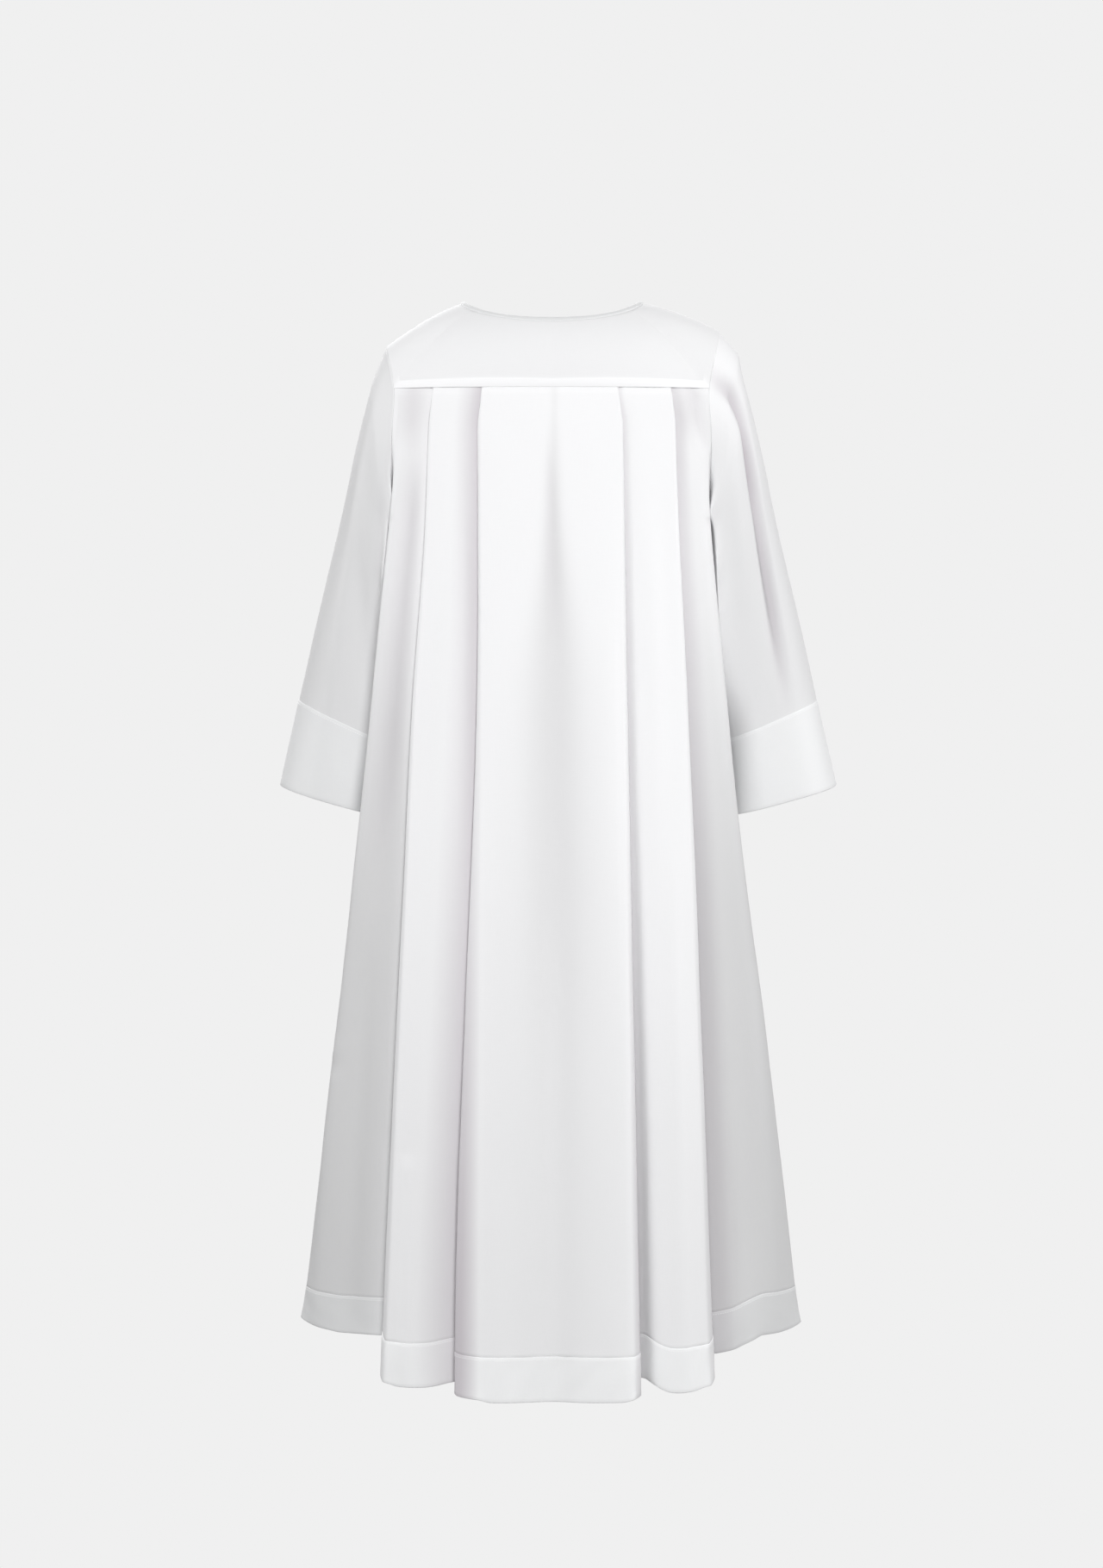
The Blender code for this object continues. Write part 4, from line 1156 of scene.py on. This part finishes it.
def sleeve_fold(side, angle, place):
    """How far the narrower creases lift the sleeve at an angle and a row of RINGS, and their painted shade
    there.
    """
    rise = 0.0
    shade = 0.0
    for row in FOLDS[side]:
        share = (place - row.start) / (row.end - row.start)
        if not 0.0 < share < 1.0:
            continue
        off = turned(angle, mix(row.top, row.low, share))
        shape = bell(off, row.wide) * ease(share / FOLD_BEGIN) * ease((1.0 - share) / FOLD_END)
        rise += row.rise * shape
        shade += row.shade * shape
    return rise, shade


def sleeve_ring(side, place):
    """One ring of a sleeve at a place counted in rows of RINGS."""
    columns = zip(*RINGS)
    keys = list(range(len(RINGS)))
    ring = Ring(*(curve_through(keys, column, place) for column in columns))
    swing = RIGHT_SWING * ease(SWING_START * place) if side < 0 else 0.0
    outer = (ring.outer_x + swing, ring.outer_z)
    inner = (ring.inner_x + swing * SWING_INNER, ring.inner_z)
    tuck = SLEEVE_TUCK[side] * ease(place / TUCK_START) * (1.0 - ease(place - TUCK_FADE))
    middle = mix(inner, outer, 0.5)
    half = between(middle, outer)
    leave = 1.0 - ease(place)
    head = RINGS[0]
    points = []
    for angle in SLEEVE_ANGLES:
        beside = bell(angle - BESIDE, BESIDE_WIDE) * ease(place / BESIDE_START)
        beside *= 1.0 - ease((place - BESIDE_FADE[side]) / BESIDE_FADED)
        s, c = squared(angle, mix(ARMHOLE_ROUND, SLEEVE_ROUND, ease(place)) + BESIDE_ROUND * beside)
        deep = ring.deep - trough(side, angle, place / (len(RINGS) - 1)) * abs(s)
        towards_body = tuck * max(0.0, -c) ** TUCK_NARROW
        back = ring.middle + deep * s + BESIDE_OUT[side] * beside * ease((place - OUT_FROM) / OUT_LONG)
        point = (side * (middle[0] + half[0] * c - towards_body), back, middle[1] + half[1] * c)
        s0, c0 = squared(angle, ARMHOLE_ROUND)
        start_x = mix(head.inner_x, head.outer_x, (c0 + 1.0) / 2)
        start = (side * start_x, head.deep * s0, mix(head.inner_z, head.outer_z, (c0 + 1.0) / 2))
        point = move(point, between(start, armhole_point(side, angle)), leave)
        points.append(move(point, (side, 0.0, 0.0), SEAM / 2 * leave))
    points = np.array(points)
    into = wall_at(wall_grid(side), points) + SLEEVE_CLEAR - side * points[:, 0]
    below = ramp(-points[:, 2], -CLEAR_TOP, CLEAR_LONG)
    points[:, 0] += side * np.maximum(into, 0.0) * below * ease(place / CLEAR_START)
    for _ in range(RING_SMOOTHINGS):
        even = (np.roll(points, 1, axis=0) + 2.0 * points + np.roll(points, -1, axis=0)) / 4.0
        points = mix(points, even, ease(place / RING_SMOOTHED))
    return points


def sleeve_rows(side, places, raise_by, thickness):
    """Outer and inner grids of a sleeve or cuff, with its painted fold shade values."""
    last = len(RINGS) - 1.0
    outer = []
    inner = []
    folds = []
    for place in places:
        points = sleeve_ring(side, place)
        above = sleeve_ring(side, max(0.0, place - SLEEVE_NEAR))
        below = sleeve_ring(side, min(last, place + SLEEVE_NEAR))
        along = np.roll(points, -1, axis=0) - np.roll(points, 1, axis=0)
        normals = side * unit_rows(np.cross(below - above, along))
        if place == 0.0:
            normals = np.array([armhole_normal(angle) for angle in SLEEVE_ANGLES])
        held = ease(place / SLEEVE_HELD)
        lift, shade = np.array([sleeve_fold(side, angle, place) for angle in SLEEVE_ANGLES]).T
        lift = lift + held * np.array([ripple(point) for point in points])
        lift = (lift + raise_by)[:, None]
        outer.append(points + normals * lift)
        inner.append(points + normals * (lift - thickness))
        folds.append(shade)
    return np.array(outer), np.array(inner), np.minimum(1.0, np.array(folds))


def ring_rows(distance):
    """A distance along the sleeve at its cuff seam, counted in rows of RINGS."""
    return distance / (RINGS[CUFF_SEAM].inner_z - RINGS[CUFF_SEAM + 1].inner_z)


def sleeve(name, side, material):
    end = CUFF_SEAM + ring_rows(TUCK)
    places = [end * (k / SLEEVE_ROWS) ** SLEEVE_CLOSE for k in range(SLEEVE_ROWS + 1)]
    outer, inner, folds = sleeve_rows(side, places, 0.0, SINGLE)
    into = np.array([armhole_normal(angle) for angle in SLEEVE_ANGLES]) * -SEAM_SUNK
    shown = []
    for angle in SLEEVE_ANGLES:
        upper = angle < 90.0 or angle > 270.0
        shown.append(ease((abs(math.sin(math.radians(angle))) - SEAM_FROM) / SEAM_LONG + upper))
    shown = np.array(shown)[:, None]
    hidden = (into * SEAM_DEEPER + np.array((-side * SEAM_TUCK, 0.0, 0.0))) * shown
    outer = np.vstack([[outer[0] + hidden], [outer[0] + into], outer[1:]])
    inner = np.vstack([[inner[0] + hidden], [inner[0] + into], inner[1:]])
    folds = np.vstack([folds[:1], folds])
    # Painted highlight at the sleeve's head, painted light beside the body, and a lighter right sleeve as
    # painted light.
    head = HEAD_PAINTED_HIGHLIGHT * (1.0 - ramp(np.array(places[:1] + places), 0.0, HEAD_LONG))
    backing_and_light_rows = SLEEVE_BACKING_AND_LIGHT[side] + head[:, None]
    beside = np.array([ease((angle - BESIDE_FROM) / (BESIDE_TO - BESIDE_FROM)) for angle in SLEEVE_ANGLES])
    marks = {"backing_and_painted_light": np.maximum(backing_and_light_rows, mix(backing_and_light_rows, BESIDE_PAINTED_LIGHT, beside)), "fold": folds}
    return cloth(name, outer, inner, material, ring=True, marks=marks), outer


def cuff(name, side, material):
    top = CUFF_SEAM + ring_rows(SEAM / 2)
    places = [mix(top, len(RINGS) - 1.0, k / CUFF_ROWS) for k in range(CUFF_ROWS + 1)]
    outer, inner, folds = sleeve_rows(side, places, BAND_RAISE, DOUBLE)
    # The right cuff is lighter as painted light.
    marks = {"backing_and_painted_light": np.full(outer.shape[:2], CUFF_BACKING_AND_LIGHT[side]), "fold": folds}
    return cloth(name, outer, inner, material, ring=True, roll_top=True, roll_low=True, marks=marks), outer


# Sewing

def one_stitch():
    """A short thread that dives into the cloth at both ends, lying along X."""
    bpy.ops.object.select_all(action="DESELECT")
    bpy.ops.mesh.primitive_uv_sphere_add(segments=6, ring_count=4, radius=0.5, location=(0.0, 0.0, 0.0))
    stitch = bpy.context.object
    bpy.ops.object.mode_set(mode="EDIT")
    bpy.ops.mesh.select_all(action="SELECT")
    bpy.ops.transform.rotate(value=math.pi / 2, orient_axis="Y", center_override=(0.0, 0.0, 0.0))
    bpy.ops.transform.resize(value=(STITCH_LONG, THREAD, THREAD))
    bpy.ops.mesh.select_all(action="DESELECT")
    bpy.ops.object.mode_set(mode="OBJECT")
    for vert in stitch.data.vertices:
        vert.select = abs(vert.co.x) > STITCH_LONG * STITCH_END
    bpy.ops.object.mode_set(mode="EDIT")
    bpy.ops.mesh.select_mode(type="VERT")
    bpy.ops.transform.translate(value=(0.0, 0.0, -THREAD * STITCH_DIVE))
    bpy.ops.object.mode_set(mode="OBJECT")
    return stitch


def stitch_row(name, line, normals, ring, pattern, material):
    """A row of stitches along a line on the cloth, joined into one piece."""
    closed = np.vstack([line, line[:1]]) if ring else line
    facing = np.vstack([normals, normals[:1]]) if ring else normals
    along = lengths(closed, False)
    count = int(along[-1] / STITCH_PITCH)
    places = (np.arange(count) + 0.5) * along[-1] / count

    def at(values, spots):
        return np.column_stack([np.interp(spots, along, column) for column in values.T])
    centres = at(closed, places)
    forward = unit_rows(at(closed, places + STITCH_NEAR) - at(closed, places - STITCH_NEAR))
    up = at(facing, places)
    across = unit_rows(np.cross(up, forward))
    up = np.cross(forward, across)
    shape = np.array([vert.co for vert in pattern.data.vertices])
    polygons = sorted(tuple(face.vertices) for face in pattern.data.polygons)
    verts = centres[:, None] + shape[None, :, :1] * forward[:, None]
    verts = verts + shape[None, :, 1:2] * across[:, None] + shape[None, :, 2:] * up[:, None]
    verts = verts.reshape(-1, 3)
    faces = [tuple(v + k * len(shape) for v in polygon) for k in range(count) for polygon in polygons]
    mesh = bpy.data.meshes.new(name)
    mesh.from_pydata([tuple(v) for v in verts], [], faces)
    mesh.shade_smooth()
    mesh.materials.append(material)
    piece = new_object(name, mesh)
    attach(piece, "root")
    return piece


def seam_columns(edge, face):
    """The yoke's columns along its back or front seam, in order from one armhole to the other."""
    columns = [k for k, entry in enumerate(edge) if entry[1][1] == face]
    jump = next((k for k in range(1, len(columns)) if columns[k] - columns[k - 1] > 1), 0)
    return columns[jump:] + columns[:jump]


def grid_line(outer, share):
    """A line and its outward directions between two rows of an outer grid."""
    place = share * (len(outer) - 1)
    low = int(place)
    line = mix(outer[low], outer[low + 1], place - low)
    return line, unit_rows(np.cross(outer[low + 1] - outer[low], np.gradient(line, axis=0)))


# Materials

class Value:
    """A socket of a finish; an expression on it adds Math nodes."""

    def __init__(self, finish, socket):
        self.finish = finish
        self.socket = socket

    def maths(self, operation, *others):
        sockets = dict(enumerate((self,) + others))
        return self.finish.node("ShaderNodeMath", {"operation": operation}, sockets)

    def __add__(self, other):
        return self.maths("ADD", other)

    def __mul__(self, other):
        return self.maths("MULTIPLY", other)

    def sine(self):
        return self.maths("SINE")

    __radd__ = __add__
    __rmul__ = __mul__


class Finish:
    """A new material and the nodes that make it."""

    def __init__(self, name):
        self.material = bpy.data.materials.new(name)
        self.material.use_nodes = True
        self.tree = self.material.node_tree
        self.shader = self.tree.nodes["Principled BSDF"]

    def put(self, socket, value):
        if isinstance(value, Value):
            self.tree.links.new(value.socket, socket)
        else:
            socket.default_value = value

    def node(self, kind, settings=None, sockets=None, out=0):
        node = self.tree.nodes.new(kind)
        for name, value in (settings or {}).items():
            setattr(node, name, value)
        for name, value in (sockets or {}).items():
            self.put(node.inputs[name], value)
        return Value(self, node.outputs[out])

    def mixed(self, share, first, second, blend="MIX"):
        """One colour mixed from two by a share."""
        first, second = (c + (1.0,) if isinstance(c, tuple) else c for c in (first, second))
        settings = {"data_type": "RGBA", "blend_type": blend}
        return self.node("ShaderNodeMix", settings, {0: share, 6: first, 7: second}, out=2)

    def set(self, **sockets):
        for name, value in sockets.items():
            self.put(self.shader.inputs[name.replace("_", " ")], value)


def woven(name, thin_shaded_colour, full_lit_colour):
    """Fine plain weave with slightly uneven threads, greyer in a single layer, with painted light and shade
    and painted lilac shade in its folds.
    """
    f = Finish(name)
    uv = f.node("ShaderNodeUVMap", {"uv_map": "cloth"})
    split = f.node("ShaderNodeSeparateXYZ", None, {0: uv})
    down = Value(f, split.socket.node.outputs[1])
    turn = math.pi / THREAD_PITCH
    weave = (split * turn).sine() * (down * turn).sine()
    warp, weft = (f.node("ShaderNodeTexNoise", None, {"Vector": place, "Scale": 1.0, "Detail": 1.0})
                  for place in [f.node("ShaderNodeMapping", None, {"Vector": uv, "Scale": scale})
                                for scale in SLUB_SCALES])
    threads = (warp + weft) * 0.5
    # Backing tones with painted light and shade, and painted fold shade.
    backed_and_lit, fold = (f.node("ShaderNodeAttribute", {"attribute_name": mark}, None, out=2)
                    for mark in ("backing_and_painted_light", "fold"))
    layered_and_lit = f.mixed(backed_and_lit, thin_shaded_colour, full_lit_colour)
    uneven = f.mixed(threads, layered_and_lit, SLUB_TINT, "MULTIPLY")
    # Painted shade in the folds, a little lilac.
    sunk = f.mixed(fold, uneven, PAINTED_SHADE_TINT, "MULTIPLY")
    relief = weave * WEAVE_SHARE + threads * SLUB_SHARE
    sockets = {"Height": relief, "Strength": WEAVE_STRONG, "Distance": WEAVE_HIGH}
    bump = f.node("ShaderNodeBump", None, sockets)
    f.set(Base_Color=sunk, Normal=bump, Roughness=threads * DULL_UNEVEN + DULL)
    f.set(Sheen_Weight=SHEEN, Sheen_Roughness=SHEEN_DULL, Specular_IOR_Level=SHINE)
    return f.material


def thread_finish():
    """Bright sewing thread with a slight twist."""
    f = Finish("sewing_thread")
    place = f.node("ShaderNodeTexCoord", None, None, out=3)
    twist = f.node("ShaderNodeTexNoise", None, {"Vector": place, "Scale": TWIST_SCALE, "Detail": 1.0})
    bump = f.node("ShaderNodeBump", None, {"Height": twist, "Strength": TWIST_STRONG, "Distance": TWIST_HIGH})
    f.set(Base_Color=SEWING_TINT, Normal=bump, Roughness=twist * TWIST_DULL + SEWING_DULL)
    return f.material


# Studio

def camera():
    data = bpy.data.cameras.new("camera")
    data.lens = LENS
    data.sensor_width = SENSOR
    eye = new_object("camera", data)
    eye.location = EYE
    eye.rotation_euler = (math.radians(90.0 - TILT), 0.0, math.pi)
    bpy.context.scene.camera = eye


def seen_or_not(tree, seen, unseen):
    """Mix two shaders: what the camera sees, and what only lights the garment."""
    path = tree.nodes.new("ShaderNodeLightPath")
    both = tree.nodes.new("ShaderNodeMixShader")
    tree.links.new(path.outputs["Is Camera Ray"], both.inputs[0])
    tree.links.new(unseen, both.inputs[1])
    tree.links.new(seen, both.inputs[2])
    return both.outputs[0]


def surroundings():
    """A pale even backdrop, with softer light on what stands in front of it."""
    world = bpy.data.worlds.new("studio")
    bpy.context.scene.world = world
    world.use_nodes = True
    tree = world.node_tree
    light = tree.nodes["Background"]
    light.inputs["Color"].default_value = (1.0, 1.0, 1.0, 1.0)
    light.inputs["Strength"].default_value = AMBIENT
    seen = tree.nodes.new("ShaderNodeBackground")
    seen.inputs["Color"].default_value = (PALE, PALE, PALE, 1.0)
    both = seen_or_not(tree, seen.outputs[0], light.outputs[0])
    tree.links.new(both, tree.nodes["World Output"].inputs["Surface"])


def floor():
    mesh = bpy.data.meshes.new("floor")
    spots = [(-1, -1), (1, -1), (1, 1), (-1, 1)]
    mesh.from_pydata([(x * FLOOR_REACH, y * FLOOR_REACH, FLOOR_LEVEL) for x, y in spots], [], [(0, 1, 2, 3)])
    f = Finish("pale_floor")
    f.set(Base_Color=(0.0, 0.0, 0.0, 1.0), Roughness=1.0, Specular_IOR_Level=0.0)
    f.set(Emission_Color=(PALE, PALE, PALE, 1.0), Emission_Strength=1.0)
    dull = f.tree.nodes.new("ShaderNodeBsdfDiffuse")
    dull.inputs["Color"].default_value = (FLOOR_DULL, FLOOR_DULL, FLOOR_DULL, 1.0)
    both = seen_or_not(f.tree, f.shader.outputs[0], dull.outputs[0])
    f.tree.links.new(both, f.tree.nodes["Material Output"].inputs["Surface"])
    mesh.materials.append(f.material)
    piece = new_object("floor", mesh)


def soft_light(row):
    data = bpy.data.lights.new(row.name, "AREA")
    data.shape = "DISK"
    data.size = row.size
    data.energy = row.power
    lamp = new_object(row.name, data)
    lamp.location = row.place
    lamp.rotation_euler = (Vector(row.aim) - Vector(row.place)).to_track_quat("-Z", "Y").to_euler()


def studio():
    camera()
    surroundings()
    floor()
    for row in LAMPS:
        soft_light(row)
    bpy.context.scene.view_settings.view_transform = "Standard"


def main():
    bpy.ops.object.select_all(action="DESELECT")
    studio()
    single = woven("white_cloth_weave", THIN_SHADED, FULL_LIT)
    band = woven("white_double_cloth_weave", DOUBLE_THIN_SHADED, DOUBLE_FULL_LIT)
    thread = thread_finish()
    pattern = one_stitch()
    pieces = {}
    sewn = {}

    def sew(node, line, normals, ring=True):
        sewn[node] = stitch_row(node + "_stitches", line, normals, ring, pattern, thread)
    pieces["yoke"], yoke_rows, yoke_normals, edge = yoke(single)
    pieces["neck_binding"], neck_rows, neck_normals = neck_binding(band)
    for label, face in (("back", 1), ("front", -1)):
        pieces[label + "_panel"] = body_panel(label + "_panel_cloth", face, single)
    row = YOKE_ROWS + WELT_STITCH_ROW
    for label, face in (("back", 1), ("front", -1)):
        columns = seam_columns(edge, face)
        sew("yoke_" + label, yoke_rows[row][columns], yoke_normals[row][columns], False)
    sew("neck_binding", neck_rows[BINDING_ROWS - 1], neck_normals[BINDING_ROWS - 1])
    for node, face in (("hem_back", 1), ("hem_front", -1)):
        pieces[node], rows = body_hem(node + "_cloth", face, band)
        line, normals = grid_line(rows, STITCH_IN / HEM_DEEP)
        sew(node, line, normals, False)
    for side, label in ((1, "left"), (-1, "right")):
        node = "sleeve_" + label
        pieces[node], rows = sleeve(node + "_cloth", side, single)
        line, normals = grid_line(rows, HEAD_STITCH_ROW / (len(rows) - 1))
        sew(node, line, side * normals)
        node = "cuff_" + label
        pieces[node], rows = cuff(node + "_cloth", side, band)
        line, normals = grid_line(rows, CUFF_STITCH)
        sew(node, line, side * normals)
    for node, piece in pieces.items():
        rows = [sewn[row] for row in sewn if row.startswith(node)]
        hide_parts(node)
        "white_cloth" if piece.data.materials[0] == single else "white_double_cloth"
    bpy.data.objects.remove(pattern, do_unlink=True)


main()
